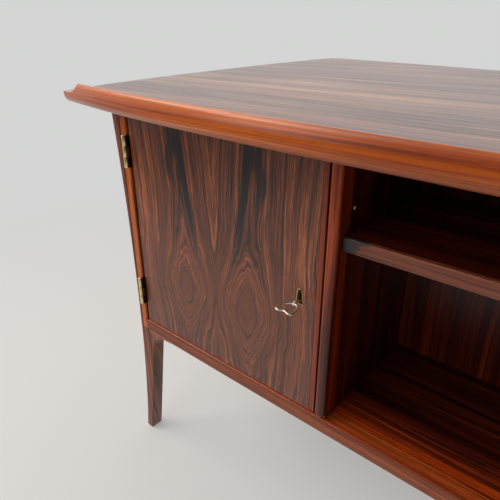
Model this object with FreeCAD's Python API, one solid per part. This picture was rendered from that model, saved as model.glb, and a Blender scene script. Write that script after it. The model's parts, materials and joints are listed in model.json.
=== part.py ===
import FreeCAD
import Part
import math
import os

from FreeCAD import Vector

# Executive desk, millimetres. X runs along the desk, the visitor side is at -Y, the user side at +Y.
# The origin is on the floor, under the middle of the desk's bounding box.

# Overall sizes
desk_width = 2000.0
desk_depth = 966.0
surface_height = 730.0
top_thickness = 22.0

# Plan of the top, one half; insets are from the widest line, setbacks from the visitor edge's apex
visitor_mid_half = 456.0
visitor_mid_sag = 8.0
tip_inset = 98.0
tip_setback = 60.0
shoulder_inset = 53.0
shoulder_setback = 222.0
widest_from_rear = 76.0
rear_corner_radius = 30.0
wing_angle = 16.7
user_bow_half = 406.0

# Solid edge pieces of the top
edge_strip_width = 12.0
edge_round = 6.0
lip_band = 38.0
lip_height = 14.0
lip_crest_inset = 6.0
lip_crest_round = 5.0
lip_cove_width = 13.0
lip_cove_sag = 3.2
lip_bevel_inset = 34.0
edge_nose_gap = 2.0
edge_undercut = 7.5
lip_end_flat = 22.0
lip_ogee_length = 32.0

# Case panels
visitor_overhang = 140.0
end_overhang = 115.0
case_depth = 620.0
gable_thickness = 15.0
gable_seat_step = 4.0
lipping_depth = 8.0
lipping_round = 2.5
cabinet_width = 389.5
divider_thickness = 16.0
nosing_inset = 4.0
nosing_floor_gap = 2.0
bookcase_depth = 243.0
back_thickness = 12.0
board_thickness = 20.0

# Rails between the legs
rail_underside = 272.0
rail_height = 26.0
rail_depth = 26.0
rail_end_gap = 6.0
rail_round = 4.0

# Legs: planks shaped in front view; widths are measured outwards from the gable's outer face
leg_thickness = 26.0
leg_top_width = 22.0
leg_waist_width = 5.0
leg_waist_height = 345.0
leg_foot_reach = 27.0
leg_foot_width = 19.0
leg_foot_round = 5.0
knee_radius = 37.0
knee_reach = 66.0
knee_toe = 1.0

# Bookcase shelf and its pins
shelf_top_height = 586.0
shelf_thickness = 19.0
shelf_setback = 10.0
shelf_clearance = 1.0
pin_radius = 2.5
pin_reach = 8.0
pin_row_front = 34.0
pin_row_rear = 215.0
pin_pitch = 52.0
pin_rows_below = 4
pin_rows_above = 1
sleeve_radius = 4.0
sleeve_length = 9.0
sleeve_clearance = 0.02
pin_clearance = 0.05

# Doors, fronts and their gaps
front_thickness = 19.0
front_setback = 3.0
hinge_gap = 5.0
door_close_gap = 3.5
door_bottom_gap = 2.0
door_top_gap = 3.0
door_lipping_width = 8.0

# Butt hinges
hinge_length = 54.0
hinge_from_bottom = 37.0
hinge_from_top = 49.0
hinge_leaf_thickness = 1.8
hinge_leaf_depth = 16.0
hinge_barrel_radius = 3.5
hinge_barrel_proud = 4.0
hinge_axis_inset = 2.5
hinge_pin_radius = 1.5
hinge_pin_clearance = 0.3
hinge_pin_fit = 0.02
hinge_knuckle_gap = 0.3
hinge_pin_tip = 1.0

# Lock, key and strike
key_height = 480.0
key_backset = 33.0
key_shank_radius = 2.0
key_shank_out = 14.0
key_bit_reach = 10.0
key_bit_thickness = 2.4
key_bow_length = 28.0
key_bow_width = 29.0
key_bow_round = 5.5
key_bow_wire = 1.5
keyhole_clearance = 0.5
key_pivot_clearance = 0.3
lock_left = 27.0
lock_half_height = 22.0
lock_depth = 13.0
lock_wall = 1.5
bolt_bottom = 6.0
bolt_height = 10.0
bolt_thickness = 6.0
bolt_door_gap = 2.0
bolt_tail = 22.0
bolt_set_in = 0.5
bolt_throw = 9.0
bolt_clearance = 0.3
bolt_notch_width = 7.0
bolt_notch_play = 0.6
strike_height = 30.0
strike_width = 18.0
strike_thickness = 1.2
strike_play = 0.6
escutcheon_thickness = 1.0
escutcheon_top_radius = 4.2
escutcheon_rise = 13.5
escutcheon_drop = 6.5
escutcheon_foot_half = 6.5

# Drawers
drawer_count = 3
drawer_height_step = 20.0
front_gap = 2.0
front_side_gap = 1.5
drawer_side_gap = 1.0
drawer_side_thickness = 12.0
drawer_back_thickness = 10.0
drawer_bottom_thickness = 6.0
drawer_bottom_rise = 8.0
drawer_box_rise = 8.0
drawer_box_top_drop = 24.0
drawer_back_drop = 4.0
drawer_back_gap = 18.0
runner_width = 7.0
runner_height = 14.0
runner_top_gap = 0.3
runner_low_gap = 1.0
runner_groove_depth = 8.0
runner_stop = 25.0
runner_back_gap = 4.0
runner_front_gap = 5.0
pull_length = 140.0
pull_reach = 14.0
pull_height = 16.0
pull_from_top = 22.0
pull_finger_depth = 4.0
pull_nose_drop = 9.6
pull_crown_reach = 10.0
pull_crown_drop = 2.9

# Cleats and screws under the top
cleat_size = 18.0
cleat_end_gap = 2.0
screw_radius = 2.0
screw_head_radius = 4.0
screw_head_height = 2.6
screw_bite = 14.0
screw_hole_clearance = 0.05
screws_per_cleat = 3
screws_in_kneehole = 5

# Planes and faces that the pieces share
top_underside = surface_height - top_thickness
rail_top = rail_underside + rail_height
board_bottom = rail_top - board_thickness
gable_bottom = rail_underside + gable_seat_step
visitor_apex = -desk_depth / 2
case_front = visitor_apex + visitor_overhang
case_back = case_front + case_depth
back_front = case_front + bookcase_depth
back_rear = back_front + back_thickness
gable_outer = end_overhang - desk_width / 2
gable_inner = gable_outer + gable_thickness
divider_outer = gable_inner + cabinet_width
divider_inner = divider_outer + divider_thickness
rail_left = gable_inner + rail_end_gap
door_left = gable_inner + hinge_gap
door_right = divider_outer - door_close_gap
door_bottom = rail_top + door_bottom_gap
door_top = top_underside - door_top_gap
door_face = case_front + front_setback
door_inside = door_face + front_thickness
front_face = case_back - front_setback
front_inside = front_face - front_thickness
key_x = door_right - key_backset
bolt_front = door_inside + bolt_door_gap
bolt_rear = bolt_front + bolt_thickness
shelf_bottom = shelf_top_height - shelf_thickness
cleat_bottom = top_underside - cleat_size


def box(x0, x1, y0, y1, z0, z1):
    return Part.makeBox(x1 - x0, y1 - y0, z1 - z0, Vector(x0, y0, z0))


def mirrored(shape):
    return shape.mirror(Vector(0, 0, 0), Vector(1, 0, 0))


def both_sides(shapes):
    return list(shapes) + [mirrored(shape) for shape in shapes]


def group(shapes):
    return Part.makeCompound(shapes)


def cylinder(radius, start, axis, length):
    return Part.makeCylinder(radius, length, start, axis)


def fuse_all(shapes):
    whole = shapes[0]
    for shape in shapes[1:]:
        whole = whole.fuse(shape)
    return whole.removeSplitter()


def line(start, end):
    return Part.LineSegment(start, end).toShape()


def arc_about(centre, start, end):
    radius = (start - centre).Length
    toward = (start - centre) + (end - centre)
    middle = centre + toward.normalize() * radius
    return Part.Arc(start, middle, end).toShape()


def prism(edges, offset):
    return Part.Face(Part.Wire(edges)).extrude(offset)


def rounded(shape, radius, chosen):
    edges = [edge for edge in shape.Edges if chosen(edge)]
    return shape.makeFillet(radius, edges)


def runs_along(edge, axis):
    points = [vertex.Point for vertex in edge.Vertexes]
    if len(points) < 2:
        return False
    step = (points[1] - points[0]).normalize()
    return abs(step.dot(axis)) > 0.999


# Plan of the top


def arc_tangent_at(joint, inward, through):
    """Centre of the arc that leaves joint square to inward and passes a second point."""
    chord = through - joint
    radius = chord.dot(chord) / (2 * chord.dot(inward))
    return joint + inward * radius


def circle_meeting(centre_a, radius_a, centre_b, radius_b, near):
    gap = centre_b - centre_a
    along = (gap.dot(gap) + radius_a ** 2 - radius_b ** 2) / (2 * gap.Length)
    rise = math.sqrt(radius_a ** 2 - along ** 2)
    way = Vector(gap).normalize()
    side = Vector(-way.y, way.x, 0)
    points = [centre_a + way * along + side * sign * rise for sign in (-1, 1)]
    return min(points, key=lambda point: (point - near).Length)


class TopPlan:
    """Points and arc centres of the top's left half, with its edges moved inwards."""

    def __init__(self, visitor_inset, end_inset, user_inset):
        half = desk_width / 2
        apex = Vector(0, visitor_apex, 0)
        joint = Vector(-visitor_mid_half, visitor_apex + visitor_mid_sag, 0)
        tip = Vector(tip_inset - half, visitor_apex + tip_setback, 0)
        shoulder = Vector(shoulder_inset - half, visitor_apex + shoulder_setback, 0)
        widest = Vector(-half, desk_depth / 2 - widest_from_rear, 0)

        self.mid_centre = arc_tangent_at(apex, Vector(0, 1, 0), joint)
        inward = (self.mid_centre - joint).normalize()
        self.wing_centre = arc_tangent_at(joint, inward, tip)
        self.end_centre = arc_tangent_at(widest, Vector(1, 0, 0), shoulder)
        end_inward = (self.end_centre - shoulder).normalize()
        self.nose_centre = arc_tangent_at(shoulder, end_inward, tip)
        self.wing_radius = (joint - self.wing_centre).Length - visitor_inset
        self.nose_radius = (tip - self.nose_centre).Length - end_inset

        self.apex = apex + Vector(0, visitor_inset, 0)
        self.joint = joint + inward * visitor_inset
        self.shoulder = shoulder + end_inward * end_inset
        self.widest = widest + Vector(end_inset, 0, 0)
        self.tip = circle_meeting(self.wing_centre, self.wing_radius,
                                  self.nose_centre, self.nose_radius, tip)
        self.corner_centre = Vector(rear_corner_radius - half, desk_depth / 2 - rear_corner_radius, 0)
        self.corner_start = Vector(end_inset - half, self.corner_centre.y, 0)
        slope = math.radians(wing_angle)
        outward = Vector(math.sin(slope), math.cos(slope), 0)
        corner_end = self.corner_centre + outward * rear_corner_radius
        run = (-user_bow_half - corner_end.x) / math.cos(slope)
        bow_start = corner_end + Vector(math.cos(slope), -math.sin(slope), 0) * run
        self.bow_centre = bow_start + outward * (user_bow_half / math.sin(slope))
        self.corner_end = corner_end - outward * user_inset
        self.bow_start = bow_start - outward * user_inset

    def end_edges(self, first):
        """From a point on the nose arc to the start of the rear corner."""
        return [arc_about(self.nose_centre, first, self.shoulder),
                arc_about(self.end_centre, self.shoulder, self.widest),
                line(self.widest, self.corner_start)]

    def user_edges(self):
        """From the left corner's end, along the wings and the bow, to the right corner's end."""
        far_start = mirror_point(self.bow_start)
        return [line(self.corner_end, self.bow_start),
                arc_about(self.bow_centre, self.bow_start, far_start),
                line(far_start, mirror_point(self.corner_end))]

    def visitor_edges(self, first, last):
        """Along the visitor edge from a point on the left wing to one on the right wing."""
        far_joint = mirror_point(self.joint)
        return [arc_about(self.wing_centre, first, self.joint),
                arc_about(self.mid_centre, self.joint, far_joint),
                arc_about(mirror_point(self.wing_centre), far_joint, last)]


def mirror_point(point):
    return Vector(-point.x, point.y, point.z)


def mirror_edges(edges):
    return [mirrored(edge) for edge in edges]


outer_plan = TopPlan(0, 0, 0)
panel_plan = TopPlan(lip_band, edge_strip_width, edge_strip_width)


def raise_top(edges):
    flat = [edge.translated(Vector(0, 0, top_underside)) for edge in edges]
    return prism(flat, Vector(0, 0, top_thickness))


def panel_outline():
    plan = panel_plan
    side = plan.end_edges(plan.tip) + [arc_about(plan.corner_centre, plan.corner_start, plan.corner_end)]
    edges = side + plan.user_edges() + mirror_edges(side)
    return Part.__sortEdges__(edges + plan.visitor_edges(plan.tip, mirror_point(plan.tip)))


def desktop_panel():
    return raise_top(panel_outline()).cut(group(screw_holes()))


def corner_mitre(plan, inset):
    """Point of the rear corner on the line that halves its turn."""
    toward = (plan.corner_start - plan.corner_centre) + (plan.corner_end - plan.corner_centre)
    return plan.corner_centre + toward.normalize() * (rear_corner_radius - inset)


def lip_band_space():
    """Everything on the visitor side of the line where the lip meets the panel."""
    plan = panel_plan
    x = -desk_width / 2
    drop = math.sqrt(plan.wing_radius ** 2 - (x - plan.wing_centre.x) ** 2)
    inner = Vector(x, plan.wing_centre.y - drop, 0)
    front = Vector(x, visitor_apex - lip_band, 0)
    edges = plan.visitor_edges(inner, mirror_point(inner))
    side = line(inner, front)
    edges += [side, mirrored(side), line(front, mirror_point(front))]
    return raise_top(Part.__sortEdges__(edges))


def soften_outer_edges(strip):
    """Rounds the long outer edges of an edge strip, above and below."""
    core = raise_top(panel_outline())

    def outer(edge):
        middle = edge.valueAt((edge.FirstParameter + edge.LastParameter) / 2)
        flat = abs(edge.BoundBox.ZLength) < 0.01
        return flat and core.distToShape(Part.Vertex(middle))[0] > edge_strip_width - edge_round / 2

    return rounded(strip, edge_round, outer)


def end_strip():
    outer, inner = outer_plan, panel_plan
    outer_mitre = corner_mitre(outer, 0)
    inner_mitre = corner_mitre(inner, edge_strip_width)
    spoke = (outer.tip - outer.nose_centre).normalize()
    first, last = outer.tip, outer.nose_centre + spoke * inner.nose_radius
    outside = outer.end_edges(first) + [arc_about(outer.corner_centre, outer.corner_start, outer_mitre)]
    inside = inner.end_edges(last) + [arc_about(inner.corner_centre, inner.corner_start, inner_mitre)]
    ends = [line(outer_mitre, inner_mitre), line(first, last)]
    strip = raise_top(Part.__sortEdges__(outside + inside + ends))
    return soften_outer_edges(strip).cut(lip_band_space())


def user_strip():
    edges = []
    for plan, inset in ((outer_plan, 0), (panel_plan, edge_strip_width)):
        corner = arc_about(plan.corner_centre, corner_mitre(plan, inset), plan.corner_end)
        edges += [corner, mirrored(corner)] + plan.user_edges()
    mitre = line(corner_mitre(outer_plan, 0), corner_mitre(panel_plan, edge_strip_width))
    edges += [mitre, mirrored(mitre)]
    return soften_outer_edges(raise_top(Part.__sortEdges__(edges)))


def lip_profile():
    """Section of the visitor edge, x inwards from the outline and z up, at the apex."""
    nose = top_thickness - edge_nose_gap
    under = edge_undercut - top_thickness
    shoulder = lip_height - lip_crest_round

    def nose_inset(z):
        return nose - math.sqrt(nose ** 2 - z ** 2)

    def at(inset, z):
        return Vector(0, visitor_apex + inset, surface_height + z)

    crest_in = lip_crest_inset + lip_crest_round
    cove_foot = crest_in + lip_cove_width
    inner_top, inner_low = at(lip_band, 0), at(lip_band, -top_thickness)
    bevel, turn = at(lip_bevel_inset, -top_thickness), at(nose_inset(under), under)
    face_top, face_mid = at(nose_inset(shoulder), shoulder), at(0, 0)
    crest, crest_end = at(lip_crest_inset, lip_height), at(crest_in, shoulder)
    cove_mid, cove_end = at(crest_in + lip_cove_sag, shoulder / 3), at(cove_foot, 0)
    return Part.Wire([
        line(inner_low, bevel),
        line(bevel, turn),
        Part.Arc(turn, face_mid, face_top).toShape(),
        Part.Arc(face_top, crest, crest_end).toShape(),
        Part.Arc(crest_end, cove_mid, cove_end).toShape(),
        line(cove_end, inner_top),
        line(inner_top, inner_low),
    ])


def lip_stretch(centre, start, degrees):
    """The lip's section turned about a vertical axis, from one end of an arc of the plan."""
    axis_point = Vector(centre.x, centre.y, 0)
    return Part.Face(start).revolve(axis_point, Vector(0, 0, 1), degrees)


def lip_end_limit():
    """Space between the two end edges, carried straight on past the tips on the visitor side."""
    plan = outer_plan
    turn = FreeCAD.Rotation(Vector(0, 0, 1), math.degrees(lip_band / plan.nose_radius))
    past = plan.nose_centre + turn.multVec(plan.tip - plan.nose_centre)
    front = Vector(past.x, visitor_apex - lip_band, 0)
    side = [arc_about(plan.nose_centre, plan.shoulder, past), line(past, front)]
    across = [line(plan.shoulder, mirror_point(plan.shoulder)), line(front, mirror_point(front))]
    edges = Part.__sortEdges__(side + mirror_edges(side) + across)
    low = Vector(0, 0, top_underside - lip_height)
    flat = [edge.translated(low) for edge in edges]
    return prism(flat, Vector(0, 0, top_thickness + 3 * lip_height))


def lip_end_cut():
    """What the hollow ogee at the left end takes off the raised lip."""
    flat_end = outer_plan.tip.x + lip_end_flat
    rise_end = flat_end + lip_ogee_length
    front = visitor_apex - lip_band
    radius = (lip_ogee_length ** 2 + lip_height ** 2) / (2 * lip_height)
    foot = Vector(flat_end, front, surface_height)
    crest = Vector(rise_end, front, surface_height + lip_height)
    far = -desk_width / 2
    above = surface_height + 2 * lip_height
    edges = [
        line(Vector(far, front, surface_height), foot),
        arc_about(foot + Vector(0, 0, radius), foot, crest),
        line(crest, Vector(rise_end, front, above)),
        line(Vector(rise_end, front, above), Vector(far, front, above)),
        line(Vector(far, front, above), Vector(far, front, surface_height)),
    ]
    return prism(edges, Vector(0, tip_setback + 3 * lip_band, 0))


def desktop_visitor_lip():
    plan = outer_plan
    mid_turn = math.degrees(math.asin(visitor_mid_half / (plan.mid_centre - plan.apex).Length))
    profile = lip_profile()
    upright = Vector(0, 0, 1)
    at_left = profile.copy()
    at_left.rotate(plan.mid_centre, upright, -mid_turn)
    at_right = profile.copy()
    at_right.rotate(plan.mid_centre, upright, mid_turn)
    wing_run = (plan.tip - plan.joint).Length + 2 * lip_band
    wing_turn = math.degrees(wing_run / plan.wing_radius)
    whole = fuse_all([
        lip_stretch(plan.mid_centre, at_left, 2 * mid_turn),
        lip_stretch(plan.wing_centre, at_left, -wing_turn),
        lip_stretch(mirror_point(plan.wing_centre), at_right, wing_turn),
    ])
    cut = lip_end_cut()
    return whole.common(lip_end_limit()).cut(cut).cut(mirrored(cut))


# Case


def gable():
    return box(gable_outer, gable_inner, case_front + lipping_depth, case_back - lipping_depth,
               gable_bottom, top_underside)


def gable_lippings():
    lippings = []
    for face, inside in ((case_front, 1), (case_back, -1)):
        y0, y1 = sorted((face, face + inside * lipping_depth))
        strip = box(gable_outer, gable_inner, y0, y1, gable_bottom, top_underside)

        def corner(edge, at=face):
            upright = runs_along(edge, Vector(0, 0, 1))
            return upright and abs(edge.Vertexes[0].Y - at) < 0.01

        lippings.append(rounded(strip, lipping_round, corner))
    return lippings


def divider():
    y0 = case_front + nosing_inset
    y1 = case_back - nosing_inset
    panel = box(divider_outer, divider_inner, y0, y1, rail_top, top_underside)
    return panel.cut(group(sleeve_bores() + [strike_pocket()]))


def divider_nosing(face, outward):
    """Half-round solid edge of the divider, with a rounded foot."""
    radius = divider_thickness / 2
    centre = Vector(divider_outer + radius, face, rail_top + nosing_floor_gap + radius)
    bar = cylinder(radius, centre, Vector(0, 0, 1), top_underside - centre.z)
    foot = Part.makeSphere(radius, centre)
    y0, y1 = sorted((face, face + outward * 2 * radius))
    keep = box(divider_outer - radius, divider_inner + radius, y0, y1, rail_top, top_underside)
    return bar.fuse(foot).common(keep).removeSplitter()


def divider_nosings():
    return [divider_nosing(case_front + nosing_inset, -1),
            divider_nosing(case_back - nosing_inset, 1)]


def bookcase_bottom():
    return box(gable_inner, -gable_inner, case_front + rail_depth, back_rear, board_bottom, rail_top)


def pedestal_bottom():
    return box(gable_inner, divider_inner, back_rear, case_back - rail_depth, board_bottom, rail_top)


def soft_rail(x0, x1, y0, y1, face):
    rail = box(x0, x1, y0, y1, rail_underside, rail_top)

    def front(edge):
        return runs_along(edge, Vector(1, 0, 0)) and abs(edge.Vertexes[0].Y - face) < 0.01

    return rounded(rail, rail_round, front)


def visitor_rail():
    return soft_rail(rail_left, -rail_left, case_front, case_front + rail_depth, case_front)


def user_rail():
    return soft_rail(rail_left, divider_inner, case_back - rail_depth, case_back, case_back)


def bookcase_back():
    return box(divider_inner, -divider_inner, back_front, back_rear, rail_top, top_underside)


def cabinet_back():
    return box(gable_inner, divider_outer, back_front, back_rear, rail_top, top_underside)


def leg(y0):
    """Plank leg: a slim strip outside the gable that turns into a knee under the rail."""

    def at(outward, z):
        return Vector(gable_outer - outward, y0, z)

    top = at(leg_top_width, top_underside)
    waist = at(leg_waist_width, leg_waist_height)
    foot = at(leg_foot_reach, 0)
    inward = Vector(-1, 0, 0)
    upper_centre = arc_tangent_at(waist, inward, top)
    lower_centre = arc_tangent_at(waist, inward, foot)
    foot_inner = at(leg_foot_reach - leg_foot_width, 0)
    knee_centre = at(-knee_reach, rail_underside - knee_radius)
    toe_back = math.sqrt(knee_radius ** 2 - (knee_radius - knee_toe) ** 2)
    toe_low = at(toe_back - knee_reach, rail_underside - knee_toe)
    toe_high = at(toe_back - knee_reach, rail_underside)
    reach = knee_centre - foot_inner
    lean = math.asin(knee_radius / reach.Length)
    slope = FreeCAD.Rotation(Vector(0, 1, 0), -math.degrees(lean)).multVec(reach).normalize()
    knee_start = foot_inner + slope * math.sqrt(reach.Length ** 2 - knee_radius ** 2)
    seat_end = -gable_thickness - gable_seat_step
    corners = [at(0, top_underside), at(0, gable_bottom), at(seat_end, gable_bottom),
               at(seat_end, rail_underside), toe_high, toe_low]
    edges = [arc_about(lower_centre, foot, waist), arc_about(upper_centre, waist, top)]
    edges += [line(start, end) for start, end in zip([top] + corners, corners)]
    edges.append(arc_about(knee_centre, toe_low, knee_start))
    edges += [line(knee_start, foot_inner), line(foot_inner, foot)]
    plank = prism(edges, Vector(0, leg_thickness, 0))

    def sole(edge):
        return runs_along(edge, Vector(0, 1, 0)) and abs(edge.Vertexes[0].Z) < 0.01

    return rounded(plank, leg_foot_round, sole)


# Bookcase shelf


def bookcase_shelf():
    x1 = -divider_inner - shelf_clearance
    y0 = case_front + shelf_setback + lipping_depth
    return box(-x1, x1, y0, back_front - shelf_clearance, shelf_bottom, shelf_top_height)


def shelf_lipping():
    x1 = -divider_inner - shelf_clearance
    y0 = case_front + shelf_setback
    return box(-x1, x1, y0, y0 + lipping_depth, shelf_bottom, shelf_top_height)


def pin_spots(heights):
    rows = (pin_row_front, pin_row_rear)
    return [Vector(divider_inner, case_front + row, z) for row in rows for z in heights]


def sleeve_heights():
    seat = shelf_bottom - pin_radius
    return [seat + pin_pitch * step for step in range(-pin_rows_below, pin_rows_above + 1)]


def sleeve_bores():
    outward = Vector(-1, 0, 0)
    return [cylinder(sleeve_radius + sleeve_clearance, spot, outward, sleeve_length)
            for spot in pin_spots(sleeve_heights())]


def shelf_pin_sleeves():
    outward = Vector(-1, 0, 0)
    sleeves = []
    for spot in pin_spots(sleeve_heights()):
        tube = cylinder(sleeve_radius, spot, outward, sleeve_length)
        sleeves.append(tube.cut(cylinder(pin_radius + pin_clearance, spot, outward, sleeve_length)))
    return both_sides(sleeves)


def shelf_pins():
    seats = pin_spots([shelf_bottom - pin_radius])
    start = Vector(-sleeve_length, 0, 0)
    length = sleeve_length + pin_reach
    pins = [cylinder(pin_radius, spot + start, Vector(1, 0, 0), length) for spot in seats]
    return both_sides(pins)


# Doors and hinges


def on_key_axis(radius, y0, y1):
    return cylinder(radius, Vector(key_x, y0, key_height), Vector(0, 1, 0), y1 - y0)


def keyhole(y0, y1):
    """Round hole under a slot that lets the key's bit through."""
    hole = on_key_axis(key_shank_radius + keyhole_clearance, y0, y1)
    half = key_bit_thickness / 2 + keyhole_clearance
    high = key_height + key_bit_reach + keyhole_clearance
    return hole.fuse(box(key_x - half, key_x + half, y0, y1, key_height, high))


def door():
    panel = box(door_left, door_right - door_lipping_width, door_face, door_inside, door_bottom, door_top)
    return panel.cut(keyhole(door_face, door_inside))


def door_lipping():
    return box(door_right - door_lipping_width, door_right, door_face, door_inside, door_bottom, door_top)


hinge_x = gable_inner - hinge_axis_inset
hinge_y = case_front - hinge_barrel_proud


def hinge_bottoms():
    return [door_bottom + hinge_from_bottom, door_top - hinge_from_top - hinge_length]


def on_hinge_axis(radius, z0, z1):
    return cylinder(radius, Vector(hinge_x, hinge_y, z0), Vector(0, 0, 1), z1 - z0)


def knuckle_spans(z0):
    """Heights of the frame leaf's two knuckles and of the door leaf's one between them."""
    third = hinge_length / 3
    gap = hinge_knuckle_gap / 2
    frame = [(z0, z0 + third - gap), (z0 + 2 * third + gap, z0 + hinge_length)]
    middle = [(z0 + third + gap, z0 + 2 * third - gap)]
    return frame, middle


def hinge_leaf(x0, x1, z0, own, slack):
    """A flat leaf along the gap, joined to its knuckles by short arms across the front."""
    half = hinge_leaf_thickness / 2
    z1 = z0 + hinge_length
    parts = [box(x0, x1, hinge_y + half, case_front + hinge_leaf_depth, z0, z1)]
    for low, high in own:
        parts.append(on_hinge_axis(hinge_barrel_radius, low, high))
        parts.append(box(hinge_x, x1, hinge_y - half, hinge_y + half, low, high))
    return fuse_all(parts).cut(on_hinge_axis(hinge_pin_radius + slack, z0, z1))


def hinge_frame_leaves():
    """Leaves on the gables, cut away where the door leaf's knuckle and arm turn."""
    leaves = []
    for z0 in hinge_bottoms():
        frame, middle = knuckle_spans(z0)
        leaf = hinge_leaf(gable_inner, gable_inner + hinge_leaf_thickness, z0, frame, hinge_pin_fit)
        low, high = middle[0]
        reach = hinge_barrel_radius + hinge_knuckle_gap
        room = box(hinge_x, door_left, hinge_y - reach, hinge_y + reach,
                   low - hinge_knuckle_gap, high + hinge_knuckle_gap)
        leaves.append(leaf.cut(room))
    return leaves


def hinge_door_leaves():
    leaves = []
    for z0 in hinge_bottoms():
        middle = knuckle_spans(z0)[1]
        x0 = door_left - hinge_leaf_thickness
        leaves.append(hinge_leaf(x0, door_left, z0, middle, hinge_pin_clearance))
    return leaves


def hinge_pins():
    pins = []
    for z0 in hinge_bottoms():
        z1 = z0 + hinge_length
        pins.append(on_hinge_axis(hinge_pin_radius, z0 - hinge_pin_tip, z1 + hinge_pin_tip))
    return pins


# Lock, key and strike


def escutcheon():
    """Bell-shaped plate round the keyhole, narrow above and wide at its foot."""
    y0 = door_face - escutcheon_thickness
    neck = escutcheon_top_radius
    foot = escutcheon_foot_half
    neck_z = key_height + escutcheon_rise
    foot_z = key_height - escutcheon_drop
    disc = cylinder(neck, Vector(key_x, y0, neck_z), Vector(0, 1, 0), escutcheon_thickness)
    corners = [Vector(key_x - neck, y0, neck_z), Vector(key_x + neck, y0, neck_z),
               Vector(key_x + foot, y0, foot_z), Vector(key_x - foot, y0, foot_z)]
    skirt = Part.Face(Part.makePolygon(corners + corners[:1]))
    plate = fuse_all([disc, skirt.extrude(Vector(0, escutcheon_thickness, 0))])
    return plate.cut(keyhole(y0, door_face))


def lock_case():
    """Open pan screwed to the door's inside, with a slot for the bolt and a pivot for the key."""
    x0, y1 = key_x - lock_left, door_inside + lock_depth
    z0, z1 = key_height - lock_half_height, key_height + lock_half_height
    shell = box(x0, door_right, door_inside, y1, z0, z1)
    hollow = box(x0 + lock_wall, door_right - lock_wall, door_inside, y1 - lock_wall,
                 z0 + lock_wall, z1 - lock_wall)
    slack = bolt_clearance
    low = key_height + bolt_bottom
    slot = box(door_right - 2 * lock_wall, door_right, bolt_front - slack, bolt_rear + slack,
               low - slack, low + bolt_height + slack)
    pivot = on_key_axis(key_shank_radius + key_pivot_clearance, door_inside, y1)
    return shell.cut(hollow).cut(slot).cut(pivot)


def lock_bolt():
    """Sliding bar, with a notch in its lower edge that the key's bit turns into."""
    low = key_height + bolt_bottom
    bar = box(key_x - bolt_tail, door_right - bolt_set_in, bolt_front, bolt_rear, low, low + bolt_height)
    right = key_x - bolt_throw + key_bit_thickness / 2 + bolt_notch_play
    top = key_height + key_bit_reach + bolt_notch_play
    notch = box(right - bolt_notch_width, right, bolt_front, bolt_rear, low, top)
    return bar.cut(notch)


def key_loop(y_near, radius):
    """Three equal round corners and the flats between them, a corner at the shank and two outside."""
    near = y_near - key_bow_round
    far = near - key_bow_length + 2 * key_bow_round
    reach = key_bow_width / 2 - key_bow_round
    low = key_height - key_bow_wire
    corners = [Vector(key_x, near, low), Vector(key_x - reach, far, low), Vector(key_x + reach, far, low)]
    height = Vector(0, 0, 2 * key_bow_wire)
    pieces = [cylinder(radius, corner, Vector(0, 0, 1), height.z) for corner in corners]
    pieces.append(Part.Face(Part.makePolygon(corners + corners[:1])).extrude(height))
    for first, second in zip(corners, corners[1:] + corners[:1]):
        way = Vector(second - first).normalize()
        side = Vector(-way.y, way.x, 0) * radius
        band = [first + side, second + side, second - side, first - side]
        pieces.append(Part.Face(Part.makePolygon(band + band[:1])).extrude(height))
    return fuse_all(pieces)


def key():
    """Key at a quarter turn from the slot: its bow lies level, its bit points to the hinge."""
    outer_end = door_face - escutcheon_thickness - key_shank_out
    inner_end = door_inside + lock_depth
    shank = on_key_axis(key_shank_radius, outer_end, inner_end)
    half = key_bit_thickness / 2
    bit = box(key_x - key_bit_reach, key_x, bolt_front, bolt_rear, key_height - half, key_height + half)
    bow_start = outer_end + 2 * key_bow_wire
    bow = key_loop(bow_start, key_bow_round).cut(key_loop(bow_start, key_bow_round - 2 * key_bow_wire))
    return fuse_all([shank, bit, bow])


def strike_slot(depth):
    low = key_height + bolt_bottom
    return box(divider_outer, divider_outer + depth, bolt_front - strike_play, bolt_rear + strike_play,
               low - strike_play, low + bolt_height + strike_play)


def strike_blank():
    middle_y = (bolt_front + bolt_rear) / 2
    middle_z = key_height + bolt_bottom + bolt_height / 2
    return box(divider_outer, divider_outer + strike_thickness, middle_y - strike_width / 2,
               middle_y + strike_width / 2, middle_z - strike_height / 2, middle_z + strike_height / 2)


def strike_pocket():
    return strike_blank().fuse(strike_slot(bolt_throw))


def strike_plate():
    return strike_blank().cut(strike_slot(strike_thickness))


# Drawers


def drawer_spans():
    """Bottom and top of each drawer front, the lowest first; lower drawers are deeper."""
    room = top_underside - rail_top - door_top_gap - drawer_count * front_gap
    spans = []
    z0 = rail_top + front_gap
    for place in range(drawer_count):
        height = room / drawer_count + drawer_height_step * ((drawer_count - 1) / 2 - place)
        spans.append((z0, z0 + height))
        z0 += height + front_gap
    return spans


def box_span(span):
    return span[0] + drawer_box_rise, span[1] - drawer_box_top_drop


def runner_bottom(span):
    low, high = box_span(span)
    return (low + high - runner_height) / 2


def drawer_front(span):
    x0, x1 = gable_inner + front_side_gap, divider_outer - front_side_gap
    board = box(x0, x1, front_inside, front_face, span[0], span[1])
    return fuse_all([board, drawer_pull((x0 + x1) / 2, span[1] - pull_from_top)])


def drawer_pull(middle_x, z_top):
    """Carved grip: rounded over the top and hollowed beneath for the fingers."""
    x0 = middle_x - pull_length / 2
    outer = front_face + pull_reach

    def at(y, z):
        return Vector(x0, y, z)

    root = at(front_face, z_top)
    nose = at(outer, z_top - pull_nose_drop)
    heel = at(front_face, z_top - pull_height)
    crown = at(front_face + pull_crown_reach, z_top - pull_crown_drop)
    across = (heel - nose).normalize()
    tuck = (nose + heel) * 0.5 + Vector(0, across.z, -across.y) * pull_finger_depth
    arcs = [Part.Arc(root, crown, nose), Part.Arc(nose, tuck, heel)]
    edges = [arc.toShape() for arc in arcs] + [line(heel, root)]
    return prism(edges, Vector(pull_length, 0, 0))


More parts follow.
